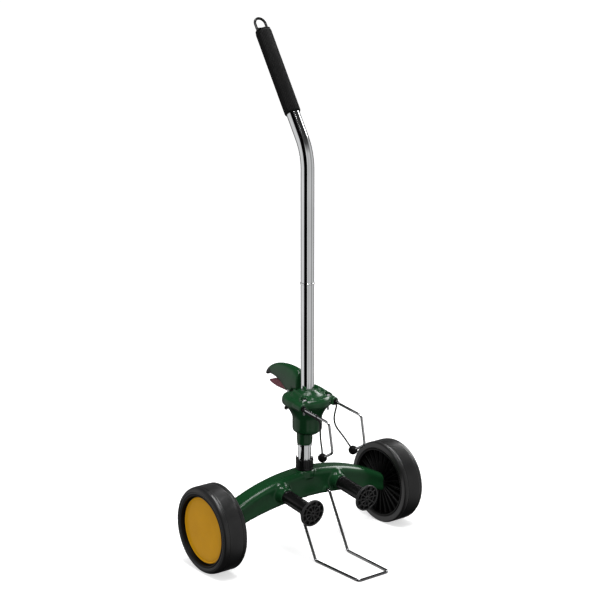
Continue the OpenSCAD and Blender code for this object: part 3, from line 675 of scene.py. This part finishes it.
def make_beam():
    start = BEAM_END - 1.6
    stations = [start - BEAM_STEP * k for k in range(int(2 * start / BEAM_STEP) + 1)]
    ends = [(BEAM_END, 2.2), (BEAM_END - 0.5, 0.8)]
    rings = [beam_section(x, s) for x, s in ends] + [beam_section(x) for x in stations]
    rings += [beam_section(-x, s) for x, s in reversed(ends)]
    whole = skin(rings)
    # Bosses: a flared foot where each one grows out of the beam
    socket = lathe([(0, 140), (20, 140), (20.4, 150), (19.8, 152), (18.9, 153.8), (18.6, 155), (0, 155)])
    whole.add(socket, ON_LOW_TUBE)
    boss = lathe([(0, -14), (23, -14), (21.5, -3), (18.2, 0.6), (16.4, 3.6), (15.7, 8), (15.5, 14.2),
                  (14.8, PEG_BOSS), (0, PEG_BOSS)])
    stub = BEAM_END - STUB_START
    end_boss = lathe([(0, 0), (15, 0), (15, stub - 0.4), (14.4, stub), (0, stub)])
    foot_boss = lathe([(0, 0), (7.5, 0), (6.2, 2.4), (5.2, 3.4), (0, 3.4)])
    for s in (-1, 1):
        whole.add(boss, on_peg(s))
        whole.add(end_boss, Matrix.Translation((s * STUB_START, 0, WHEEL_R)) @ turned(s * 90, "Y"))
        whole.add(foot_boss, Matrix.Translation((s * FOOT_X, 0.4 - BEAM_HALF, FOOT_Z)) @ turned(90, "X"))
    # The lowest points of each inner section go down through the underside, to open it for its plate
    low_part, drop = 20, 16
    count = 2 * CAVITY_END // BEAM_STEP + 1
    inner = [beam_section(CAVITY_END - BEAM_STEP * k, WALL) for k in range(count)]
    inner = [[(x, y, z if z > low_at(x) + low_part else z - drop) for x, y, z in ring] for ring in inner]
    holes = [tube([(s * (CAVITY_END - 6), 0, WHEEL_R), (s * 200, 0, WHEEL_R)], 6.05) for s in (-1, 1)]
    fused("beam_moulding", whole, "chassis", "green_plastic", ["beam_shell"],
          [skin(inner), merged(*holes)], grain=1.1, softness=10)


make_beam()

# ---- Pole ----


def pole_line():
    """The middle line of the upper tube: up, round the bend and along the handle."""
    cut = BEND_R * tan(radians(LEAN) / 2)
    start = BEND_Z - cut
    arc = [(0, POLE_Y + BEND_R * (1 - cos(a)), start + BEND_R * sin(a))
           for a in (radians(LEAN) * k / 32 for k in range(33))]
    straight = [(0, POLE_Y, SEAM_Z + (start - SEAM_Z) * k / 8) for k in range(8)]
    handle = [ON_HANDLE @ Vector((0, 0, cut + (GRIP_END - 2 - cut) * k / 4)) for k in range(1, 5)]
    return straight + arc + handle


def make_pole():
    sides = 96
    piece("handle_tube_chromed", tube(pole_line(), TUBE_R, sides), "chassis", "chrome", ["handle_tube"])
    lower = rounded([(0, 236), (TUBE_R, 236), (TUBE_R, SEAM_Z - 0.2), (0, SEAM_Z - 0.2)], 0.3, 2)
    piece("pole_tube_chromed", moved(lathe(lower, sides), ON_POLE), "chassis", "chrome", ["lower_pole"])
    foot = rounded([(0, 107), (TUBE_R, 107), (TUBE_R, 229.8), (0, 229.8)], 0.3, 2)
    piece("foot_tube_chromed", moved(lathe(foot, sides), ON_LOW_TUBE), "chassis", "chrome",
          ["lower_tube"])
    bead = rounded([(TUBE_R - 0.5, SEAM_Z - 4.8), (TUBE_R + 0.7, SEAM_Z - 4.2),
                    (TUBE_R + 0.8, SEAM_Z - 1), (TUBE_R - 0.5, SEAM_Z - 0.3)], 0.5, 3, closed=True)
    piece("pole_seam_bead", moved(lathe(bead, sides, closed=True), ON_POLE), "chassis", "chrome",
          ["pole_ring"])


def make_grip():
    """Foam sleeve with fine ribs along it, rounded at both ends."""
    ribs, steps = 32, 8
    ends = [(0, TUBE_R - GRIP_R + 0.2), (0.6, -1.4), (1.6, -0.6), (3, -0.15), (5, 0)]
    stations = ends + [(GRIP_END - GRIP_START - z, d) for z, d in reversed(ends)]
    rings = []
    for z, grow in stations:
        deep = 0.7 if grow > -0.5 else 0.1
        ring = []
        for k in range(ribs * steps):
            a = 2 * pi * k / (ribs * steps)
            r = GRIP_R + grow - deep * (0.5 - 0.5 * cos(a * ribs)) ** 2
            ring.append((r * cos(a), r * sin(a), GRIP_START + z))
        rings.append(ring)
    piece("foam_grip", moved(skin(rings), ON_HANDLE), "chassis", "grip_rubber", ["hand_grip"],
          radians(60))


def make_loop():
    """End plug of the grip with its flat hanging loop."""
    half, thick, depth = 14.2, 4.6, 4
    plug = rounded([(0, GRIP_END - 24), (TUBE_R - 1.3, GRIP_END - 24), (TUBE_R - 1.3, GRIP_END),
                    (14.6, GRIP_END), (14.6, GRIP_END + 1.8), (11, GRIP_END + 2.8),
                    (0, GRIP_END + 3.2)], 0.8, 3)
    whole = lathe(plug, 64)
    arch_z = GRIP_END + LOOP_LEN - half
    radius = half - thick / 2
    line = [(-radius, 0, GRIP_END + 1), (-radius, 0, GRIP_END + 6)]
    line += [(-radius * cos(a), 0, arch_z + radius * sin(a)) for a in (pi * k / 24 for k in range(25))]
    line += [(radius, 0, GRIP_END + 6), (radius, 0, GRIP_END + 1)]
    whole.add(sweep(line, oblong(thick, depth, 1.3, 4)))
    bar = sweep([(-radius, 0, GRIP_END + 4.5), (radius, 0, GRIP_END + 4.5)], oblong(5, depth, 1.3, 4))
    whole.add(bar)
    piece("grip_end_loop", moved(whole, ON_HANDLE), "chassis", "black_plastic", ["hang_loop"])


def make_collar():
    """Ribbed sleeve at the pole's foot, with a crown of small teeth and four taller horns."""
    base, top, horn, r = 155, 175, 181, 17.2
    sleeve = rounded([(TUBE_R + 0.02, base), (r, base), (r, base + 4), (r - 1.2, base + 4.6),
                      (r - 1.2, top), (TUBE_R + 0.02, top)], 0.5, 3, closed=True)
    whole = lathe(sleeve, 96, closed=True)
    teeth = 24
    for i in range(teeth):
        tall = top - base + (horn - top if i % 6 == 3 else 2 if i % 2 == 0 else 0)
        tooth = slab(oblong(2.2, 2.3, 0.5, 2), tall - 0.4, 0.6)
        whole.add(tooth, turned(360 / teeth * i, "Z") @ Matrix.Translation((r - 1.1, 0, base + 0.4)))
    piece("pole_foot_collar", moved(whole, ON_LOW_TUBE), "chassis", "black_plastic", ["pole_collar"])


make_pole()
make_grip()
make_loop()
make_collar()

# ---- Joint housing ----


def make_body():
    flare = [(28.5 + 15.4 * t ** 1.5, 262 + 27.2 * t) for t in (k / 12 for k in range(13))]
    funnel = [(0, 229)] + rounded([(16, 229.4), (19, 230), (27.6, 236.6), (28.5, 241), (28.5, 262)], 2.5,
                                  4)
    funnel += flare[1:-1] + [(43.6, 288.8), (43, PART_Z - 0.6), (0, PART_Z - 0.6)]
    neck = rounded([(0, 205.2), (13.2, 205.2), (14.8, 208), (15.3, 216), (15.3, 236), (0, 236)], 1.2, 4)
    whole = merged(moved(lathe(funnel), ON_POLE), moved(lathe(neck), ON_LOW_TUBE))
    pocket = moved(slab(oblong(30, 60, 0.5), 20, 0.2), Matrix.Translation((0, 30.2, 274)))
    root_gap = lathe([(0, -40), (8.6, -40), (8.6, 20), (0, 20)], 48)
    cuts = [pocket, merged(*(moved(root_gap, on_root(s)) for s in (-1, 1)))]
    fused("housing_funnel", whole, "chassis", "green_plastic", ["joint_body"], cuts, grain=0.7,
          softness=5)


def fin(side):
    """A crested ridge that falls from beside the pole to the root of a hook."""
    # Each station: place of the crest, half-width at the foot and height of the foot
    crest = [((24.4, -1, 313), 2.4, 308), ((25, -3.4, 320.4), 7, 305), ((26.4, -11, 319.6), 9.6, 303),
             ((28.4, -22, 317.2), 10.4, 301), ((31, -33, 313.6), 10, 298),
             ((34.4, -42, 308.4), 9.2, 294), ((37.4, -47.6, 303.4), 8.4, 291),
             ((38.6, -50.4, 300.4), 7.6, 289)]
    along = Vector((0.24, -1, 0)).normalized()
    across = Vector((-along.y, along.x, 0))
    rings = []
    for (x, y, z), half, foot in crest:
        middle = Vector((x, y, 0))
        ring = []
        for u, h in ((-1.3, 0), (-1.0, 0.22), (-0.62, 0.52), (-0.30, 0.84), (-0.08, 0.99), (0.08, 0.99),
                     (0.26, 0.80), (0.62, 0.62), (1.0, 0.34), (1.25, 0)):
            p = middle + across * u * half
            ring.append((side * p.x, p.y, foot + (z - foot) * h))
        rings.append(ring)
    return skin(rings)


def screw_boss(side):
    """A round boss whose top leans down towards the front."""
    def leaning(r, drop):
        return [(side * SCREW_X + x, SCREW_Y + y, 308.6 + 0.42 * y - drop) for x, y in circle(r, 48)]

    foot = [(side * SCREW_X + x, SCREW_Y + y, 292) for x, y in circle(9.4, 48)]
    return skin([foot, leaning(9.4, 2), leaning(9, 0.8), leaning(8.2, 0)])


def make_cover():
    edge = 9
    drum = [(0, PART_Z), (45.6, PART_Z), (47.8, PART_Z + 0.8), (DRUM_R, PART_Z + 3)]
    drum += [(DRUM_R - edge + edge * cos(a), PART_Z + 8 + edge * sin(a))
             for a in (radians(10 * k) for k in range(10))]
    drum += [(32, 308.6), (25, 311), (20, 314), (17.6, DRUM_TOP - 1), (16.4, DRUM_TOP), (0, DRUM_TOP)]
    whole = moved(lathe(drum, 128), ON_POLE)
    pod = lathe([(0, -32), (7, -32), (9, -20), (8.4, -6), (8, -1), (7.2, 0), (0, 0)], 64)
    well = lathe([(0, 303.4), (6.4, 303.4), (7, 330), (0, 330)], 48)
    root_hole = lathe([(0, -16), (4.9, -16), (4.9, 4), (0, 4)], 48)
    for s in (-1, 1):
        whole.add(fin(s))
        whole.add(pod, on_root(s))
        whole.add(screw_boss(s))
    cuts = [merged(*(moved(well, on_screw(s)) for s in (-1, 1))),
            merged(*(moved(root_hole, on_root(s)) for s in (-1, 1))),
            moved(slab(oblong(29.2, 42, 0.5), 50, 0.2), Matrix.Translation((0, 39.4, 280))),
            moved(slab(oblong(29.2, 58, 0.5), 30, 0.2), Matrix.Translation((0, 31, 306))),
            tube([(0, -3, 292), (0, 40, 292)], 4.1),
            tube([(-50, *LEVER_PIN), (50, *LEVER_PIN)], 3.2)]
    fused("housing_cover", whole, "chassis", "green_plastic", ["joint_cover"], cuts, grain=0.7,
          softness=4)


def make_cover_screws():
    """Pan-head screws with a round socket, at the bottom of their wells."""
    head = rounded([(0, 304.6), (4.6, 304.6), (4.6, 306.2), (3, 307.4), (2.1, 307.4), (2.1, 305.6),
                    (0, 305.6)], [0, 0.1, 0.8, 0.6, 0.2, 0.2, 0], 3)
    shank = lathe([(0, 276), (1.9, 277), (1.9, 305), (0, 305)], 24)
    whole = Shape()
    for s in (-1, 1):
        whole.add(lathe(head, 48), on_screw(s)).add(shank, on_screw(s))
    # The screws wear steel painted darker, as painted shade in their wells
    piece("cover_socket_screws", whole, "chassis", "steel", ["cover_screws"], paint="steel_painted_shade")


def make_anchors():
    """Round knobs under the rim of the housing, each with a collar."""
    knob = rounded([(0, 31.5), (1.95, 31.5), (1.95, 38.6), (3.8, 39.5), (4.1, 41.5), (3.4, 44.2),
                    (1.2, 44.7), (0, 44.7)], 0.7, 3)
    whole = Shape()
    for angle in (50, 130):
        place = Matrix.Translation((0, POLE_Y, 277)) @ turned(angle, "Z") @ turned(90, "Y")
        whole.add(lathe(knob, 40), place)
    piece("cord_end_knobs", whole, "chassis", "black_plastic", ["cord_anchors"])


make_body()
make_cover()
make_cover_screws()
make_anchors()

# ---- Catch: hook and release lever ----

# Stations of the hook from the pole to its tip: upper point, lower point (y, z) and half-width
BEAK = [
    ((4, 345.5), (4, 306.4), 14.0), ((6, 347.6), (6, 306.3), 14.3), ((12, 350), (12, 306.3), 14.3),
    ((18.4, 351.6), (18.4, 306.2), 14.2), ((24, 352.6), (23, 299.4), 14.1),
    ((32, 353.5), (31, 298.8), 13.8), ((42, 353.9), (38, 298.9), 13.2), ((54, 353.5), (44, 300.6), 12.4),
    ((66, 352), (50, 305.5), 11.5), ((77, 349.6), (57.5, 311.6), 10.6), ((87, 346.4), (68, 316.6), 9.6),
    ((95.6, 342.4), (79.4, 320.2), 8.6), ((102.6, 338), (89.4, 322.3), 7.6),
    ((108, 333.4), (97, 323.2), 6.8), ((112, 329), (102.6, 322.8), 6.0),
    ((114.8, 325), (105.6, 321.9), 5.2), ((116.2, 322), (107.6, 320.6), 4.4),
    ((116.4, 320.2), (109, 319.6), 3.4)]


def power(value, exponent):
    return abs(value) ** exponent * (1 if value > 0 else -1)


def beak_ring(upper, lower, half, sides=40):
    """A rounded section, narrow along its crown and fullest below its middle."""
    up, low = Vector((0, *upper)), Vector((0, *lower))
    middle, reach = (up + low) / 2, (up - low) / 2
    ring = []
    for k in range(sides):
        a = 2 * pi * k / sides
        height = power(sin(a), 0.8)
        taper = 1 - 0.30 * max(0, height) ** 2
        ring.append(middle + reach * height + Vector((half * taper * power(cos(a), 0.62), 0, 0)))
    return ring


def make_beak():
    split = 12
    rings = [beak_ring(*station) for station in BEAK]
    hollow_line = [(18.4, 290), (18.4, 328), (24, 333), (52, 337), (68, 338), (82, 335), (92, 331),
                   (99, 325), (102, 320), (102, 290)]

    def width(y):
        return 11.4 - 6.8 * max(0, y - 34) / 68

    hollow = side_plate(rounded(hollow_line, 3, 3), width)
    slot = moved(slab(oblong(16.4, 20, 0.4), 17, 0.2), Matrix.Translation((0, 9, 289.4)))
    fused("catch_beak", skin(rings[:split + 1]), "chassis", "green_plastic", ["beak_hook"],
          [hollow, slot], grain=0.7, softness=5)
    tip = [[(p.x * 1.02, p.y, p.z + 0.05) for p in ring] for ring in rings[split:]]
    fused("catch_beak_tip", skin(tip), "chassis", "black_plastic", ["beak_tip"], [hollow], grain=0.5,
          softness=3)


# Stations of the release lever: y, lowest z, highest z, half-width
LEVER = [(19.3, 300, 304, 5.4), (21, 299.2, 308.4, 5.8), (26, 299.2, 311.4, 6), (34, 299.5, 312.8, 6),
         (44, 299.8, 314.2, 6), (54, 300.1, 316.8, 6), (64, 300.5, 318, 5.8), (74, 300.9, 318.2, 5.4),
         (82, 301.6, 317.2, 4.9), (90, 303, 315.4, 4.4), (96, 304.6, 313.2, 3.9),
         (99, 305.6, 311.9, 3.6), (102, 306.9, 310.9, 3.1), (103.8, 307.9, 310.2, 2.3),
         (104.5, 308.6, 309.6, 1.0)]


def lever_ring(y, low, high, half, grow=0.0, sides=28):
    middle, reach = (low + high) / 2, (high - low) / 2
    return [((half + grow) * power(cos(a), 0.7), y, middle + (reach + grow) * power(sin(a), 0.7))
            for a in (2 * pi * k / sides for k in range(sides))]


def make_lever():
    split = 11
    tongue = skin([lever_ring(*s) for s in LEVER[:split + 1]])
    finger = moved(slab(oblong(8.6, 3, 0.5), 13, 0.6), Matrix.Translation((0, 20.7, 290)))
    piece("lever_tongue", merged(tongue, finger), "catch_lever", "maroon_rubber", ["release_lever"],
          radians(60))
    piece("lever_tongue_tip", skin([lever_ring(*s, grow=0.12) for s in LEVER[split:]]), "catch_lever",
          "grip_rubber", ["lever_tip"], radians(60))


make_beak()
make_lever()

# ---- Wire hooks ----


def make_arm(side, name):
    back = 26
    root = (ARM_X, ROOT_Y + back * cos(radians(ROOT_DIP)), ROOT_Z + back * sin(radians(ROOT_DIP)))
    corners = [root, (ARM_X, -127, 285), (ARM_X, -138, 230), (BALL[0] + 0.2, BALL[1] - 3, BALL[2] + 1.6)]
    line = rounded([(side * x, y, z) for x, y, z in corners], 9, 12)
    # The hook wire wears chrome painted darker, as painted shade for the dark surroundings it reflects
    piece(name + "_hook_wire", tube(line, ARM_R - 0.03, 32), name + "_arm", "chrome",
          [name + "_arm_wire"], paint="hook_chrome_painted_shade")
    sleeve = rounded([(ARM_R - 0.03, 1.9), (4, 1.9), (4.2, 3), (4.1, 5.6), (3.5, 6.8),
                      (ARM_R - 0.03, 6.8)], 0.5, 3, closed=True)
    whole = moved(lathe(sleeve, 48, closed=True), on_root(side))
    if side < 0:
        # Keeper that ties the cord to the wire, between these distances from the hook's root
        low, high, cord_below_wire = 41, 44, 4.6
        eye_r = CORD_R + 0.12
        band = rounded([(ARM_R, low), (3.2, low), (3.2, high), (ARM_R, high)], 0.3, 3, closed=True)
        eye = rounded([(eye_r, low), (2.7, low), (2.7, high), (eye_r, high)], 0.4, 3, closed=True)
        whole.add(lathe(band, 40, closed=True), on_root(side))
        whole.add(lathe(eye, 40, closed=True), on_root(side) @ Matrix.Translation((0, -cord_below_wire,
                                                                                   0)))
    piece(name + "_cord_sleeve", whole, name + "_arm", "black_plastic", [name + "_cord_ferrule"])
    bush = rounded([(ARM_R + 0.04, -15), (4.5, -15), (4.5, 0), (5.4, 0), (5.4, 1.4),
                   (ARM_R + 0.04, 1.4)], 0.35, 3, closed=True)
    piece(name + "_hook_bush", moved(lathe(bush, 48, closed=True), on_root(side)), "chassis",
          "black_plastic", [name + "_arm_bush"])


for side_sign, side_name in SIDES:
    make_arm(side_sign, side_name)

# ---- Pegs ----


def make_peg(side, name):
    """A ribbed black sleeve that ends in an open lattice disc."""
    sleeve = rounded([(0, PEG_BOSS), (PEG_R, PEG_BOSS), (PEG_R, PEG_BOSS + 3),
                      (PEG_R - 0.5, PEG_BOSS + 3.6), (PEG_R - 0.5, PEG_LEN - 12), (PEG_R, PEG_LEN - 9),
                      (PEG_R + 4, PEG_LEN - 1), (PEG_R + 4, PEG_LEN), (PEG_R - 2.8, PEG_LEN),
                      (PEG_R - 2.8, PEG_BOSS + 20), (0, PEG_BOSS + 20)], 0.6, 3)
    whole = lathe(sleeve, 96)
    ribs = spokes = 10
    for i in range(ribs):
        rib = slab(oblong(1.2, 2.4, 0.4, 2), PEG_LEN - PEG_BOSS - 15, 0.4)
        whole.add(rib, turned(360 / ribs * i, "Z") @ Matrix.Translation((PEG_R - 0.6, 0, PEG_BOSS + 3)))
    web = rounded([(PEG_R - 2.8, 0.1), (DISC_R - 1, 0.1), (DISC_R - 1, 1.4), (PEG_R - 2.8, 1.4)],
                  0.3, 2, closed=True)
    whole.add(moved(lathe(web, 96, closed=True), Matrix.Translation((0, 0, PEG_LEN))))
    piece(name + "_peg_sleeve", moved(whole, on_peg(side)), "chassis", "black_plastic", [name + "_peg"])
    lattice = Shape()
    for inner, outer, low, high in ((DISC_R - 3, DISC_R, 0, DISC_T), (2.2, 5, 0.4, DISC_T),
                                    (DISC_R - 11.4, DISC_R - 9, 0.4, DISC_T - 0.2)):
        ring = rounded([(inner, low), (outer, low), (outer, high), (inner, high)], 0.9, 4, closed=True)
        lattice.add(moved(lathe(ring, 96, closed=True), Matrix.Translation((0, 0, PEG_LEN))))
    spoke = moved(slab(oblong(DISC_R - 6, 2.3, 0.7, 3), DISC_T - 0.6, 0.8),
                  Matrix.Translation((DISC_R / 2 + 1, 0, 0)))
    for i in range(spokes):
        lattice.add(spoke, Matrix.Translation((0, 0, PEG_LEN + 0.2)) @ turned(360 / spokes * i, "Z"))
    # The lattice wears black plastic painted lighter, as painted light on its ring and spoke faces
    piece(name + "_peg_lattice", moved(lattice, on_peg(side)), "chassis", "black_plastic",
          [name + "_peg"], paint="black_plastic_painted_lit")


for side_sign, side_name in SIDES:
    make_peg(side_sign, side_name)

# ---- Foot ----


def make_foot():
    half = [(FOOT_X, 1, FOOT_Z), (FOOT_X, -32, FOOT_Z), (FOOT_X, -90, FOOT_R), (36, FOOT_FRONT, FOOT_R)]
    corners = half + [(-a, b, c) for a, b, c in reversed(half)]
    # The foot wire wears chrome painted darker, as painted shade for the dark surroundings it reflects
    piece("foot_wire_chromed", tube(rounded(corners, 7, 12), FOOT_R, 32), "chassis", "chrome",
          ["foot_wire"], paint="foot_chrome_painted_shade")


make_foot()

# ---- Stage and light ----

FLOOR_GLOW = 0.6
SKY_STRENGTH = 0.5
PANEL_STRENGTH = 10
KEY_W, OVERHEAD_W = 38, 23


def make_stage():
    """A pale floor that turns up behind the object. Chrome and diffuse surfaces don't see it."""
    size, rise, bend = 6.0, 4.0, 1.6
    line = rounded([(-size, 0), (size, 0), (size, rise)], bend, 16)
    mesh = bpy.data.meshes.new("floor")
    points = [(x, y, z) for y, z in line for x in (-size * 1.6, size * 1.6)]
    mesh.from_pydata(points, [],
                     [(2 * i, 2 * i + 1, 2 * i + 3, 2 * i + 2) for i in range(len(line) - 1)])
    mesh.shade_smooth()
    floor = new_object("floor", mesh)
    floor.rotation_euler = (0, 0, CAMERA_AZIMUTH)
    floor.visible_glossy = floor.visible_diffuse = False
    paint = Paint("floor", 0.7, specular=0.1)
    paint.colour(paint.noise(0.6, 2), (0.86, 0.86, 0.86), (0.88, 0.88, 0.88))
    paint.shader.inputs["Emission Color"].default_value = (1, 1, 1, 1)
    paint.shader.inputs["Emission Strength"].default_value = FLOOR_GLOW
    mesh.materials.append(paint.material)


def make_lamp(name, place, aim, size, power_w, tall=None):
    data = bpy.data.lights.new(name, "AREA")
    data.shape = "RECTANGLE"
    data.size = size
    data.size_y = tall or size
    data.energy = power_w
    lamp = new_object(name, data)
    lamp.location = place
    lamp.rotation_euler = (Vector(aim) - Vector(place)).to_track_quat("-Z", "Y").to_euler()


def make_world():
    """Plain white light. What is glossy sees white walls with a few dark studio flags between them."""
    world = bpy.data.worlds.new("world")
    bpy.context.scene.world = world
    world.use_nodes = True
    tree = world.node_tree
    nodes, links = tree.nodes, tree.links
    plain = nodes["Background"]
    plain.inputs["Color"].default_value = (1, 1, 1, 1)
    plain.inputs["Strength"].default_value = SKY_STRENGTH
    split = nodes.new("ShaderNodeSeparateXYZ")
    links.new(nodes.new("ShaderNodeTexCoord").outputs["Generated"], split.inputs[0])

    def share(value, low, high):
        """Where a value lies between low and high, from 0 to 1."""
        node = nodes.new("ShaderNodeMapRange")
        node.inputs["From Min"].default_value = low
        node.inputs["From Max"].default_value = high
        links.new(value, node.inputs["Value"])
        return node.outputs["Result"]

    def levels(value, stops):
        return ramp_node(tree, value, [(at, (level, level, level)) for at, level in stops])

    azimuth = share(math_node(tree, "ARCTAN2", split.outputs["Y"], split.outputs["X"]), -pi, pi)
    height = share(split.outputs["Z"], -1, 1)
    # Walls and flags all round, which darken towards the floor and the ceiling
    walls = levels(azimuth, [
        (0.0, 0), (0.127, 0), (0.142, 0.95), (0.18, 0.8), (0.20, 0.5), (0.215, 0.75), (0.30, 0.85),
        (0.325, 0.45), (0.375, 0.45), (0.395, 0.8), (0.45, 0.9), (0.49, 0.5), (0.54, 0.15), (0.72, 0.15),
        (0.77, 0.3), (0.82, 0.8), (0.84, 1.0), (0.93, 0.95), (0.97, 0.9), (0.985, 0), (1.0, 0)])
    fade = levels(height, [(0.12, 0.03), (0.27, 0.9), (0.66, 0.9), (0.74, 0.35), (0.79, 0.1),
                           (0.9, 0.05)])
    # A bright panel high on the far side draws a soft line along the beam's upper edge
    panel = math_node(tree, "MULTIPLY",
                      levels(azimuth, [(0.455, 0), (0.475, 1), (0.59, 1), (0.61, 0)]),
                      levels(height, [(0.70, 0), (0.72, 1), (0.80, 1), (0.84, 0)]))
    walls = math_node(tree, "MULTIPLY", walls, fade)
    flagged = nodes.new("ShaderNodeBackground")
    links.new(math_node(tree, "MULTIPLY_ADD", panel, PANEL_STRENGTH, walls), flagged.inputs["Strength"])
    # The camera sees plain white beyond the floor
    backdrop = nodes.new("ShaderNodeBackground")
    backdrop.inputs["Color"].default_value = (1, 1, 1, 1)
    rays = nodes.new("ShaderNodeLightPath")
    seen = plain.outputs[0]
    for ray, light in (("Is Glossy Ray", flagged), ("Is Camera Ray", backdrop)):
        either = nodes.new("ShaderNodeMixShader")
        links.new(rays.outputs[ray], either.inputs["Fac"])
        links.new(seen, either.inputs[1])
        links.new(light.outputs[0], either.inputs[2])
        seen = either.outputs[0]
    links.new(seen, nodes["World Output"].inputs["Surface"])


make_stage()
make_world()
make_lamp("key", (-0.6, -0.95, 2.85), (0, 0, 0.3), 0.7, KEY_W)
make_lamp("overhead", (0.2, 0.1, 2.3), (0, 0, 0.2), 1.2, OVERHEAD_W, 0.6)
bpy.context.scene.view_settings.view_transform = "Standard"
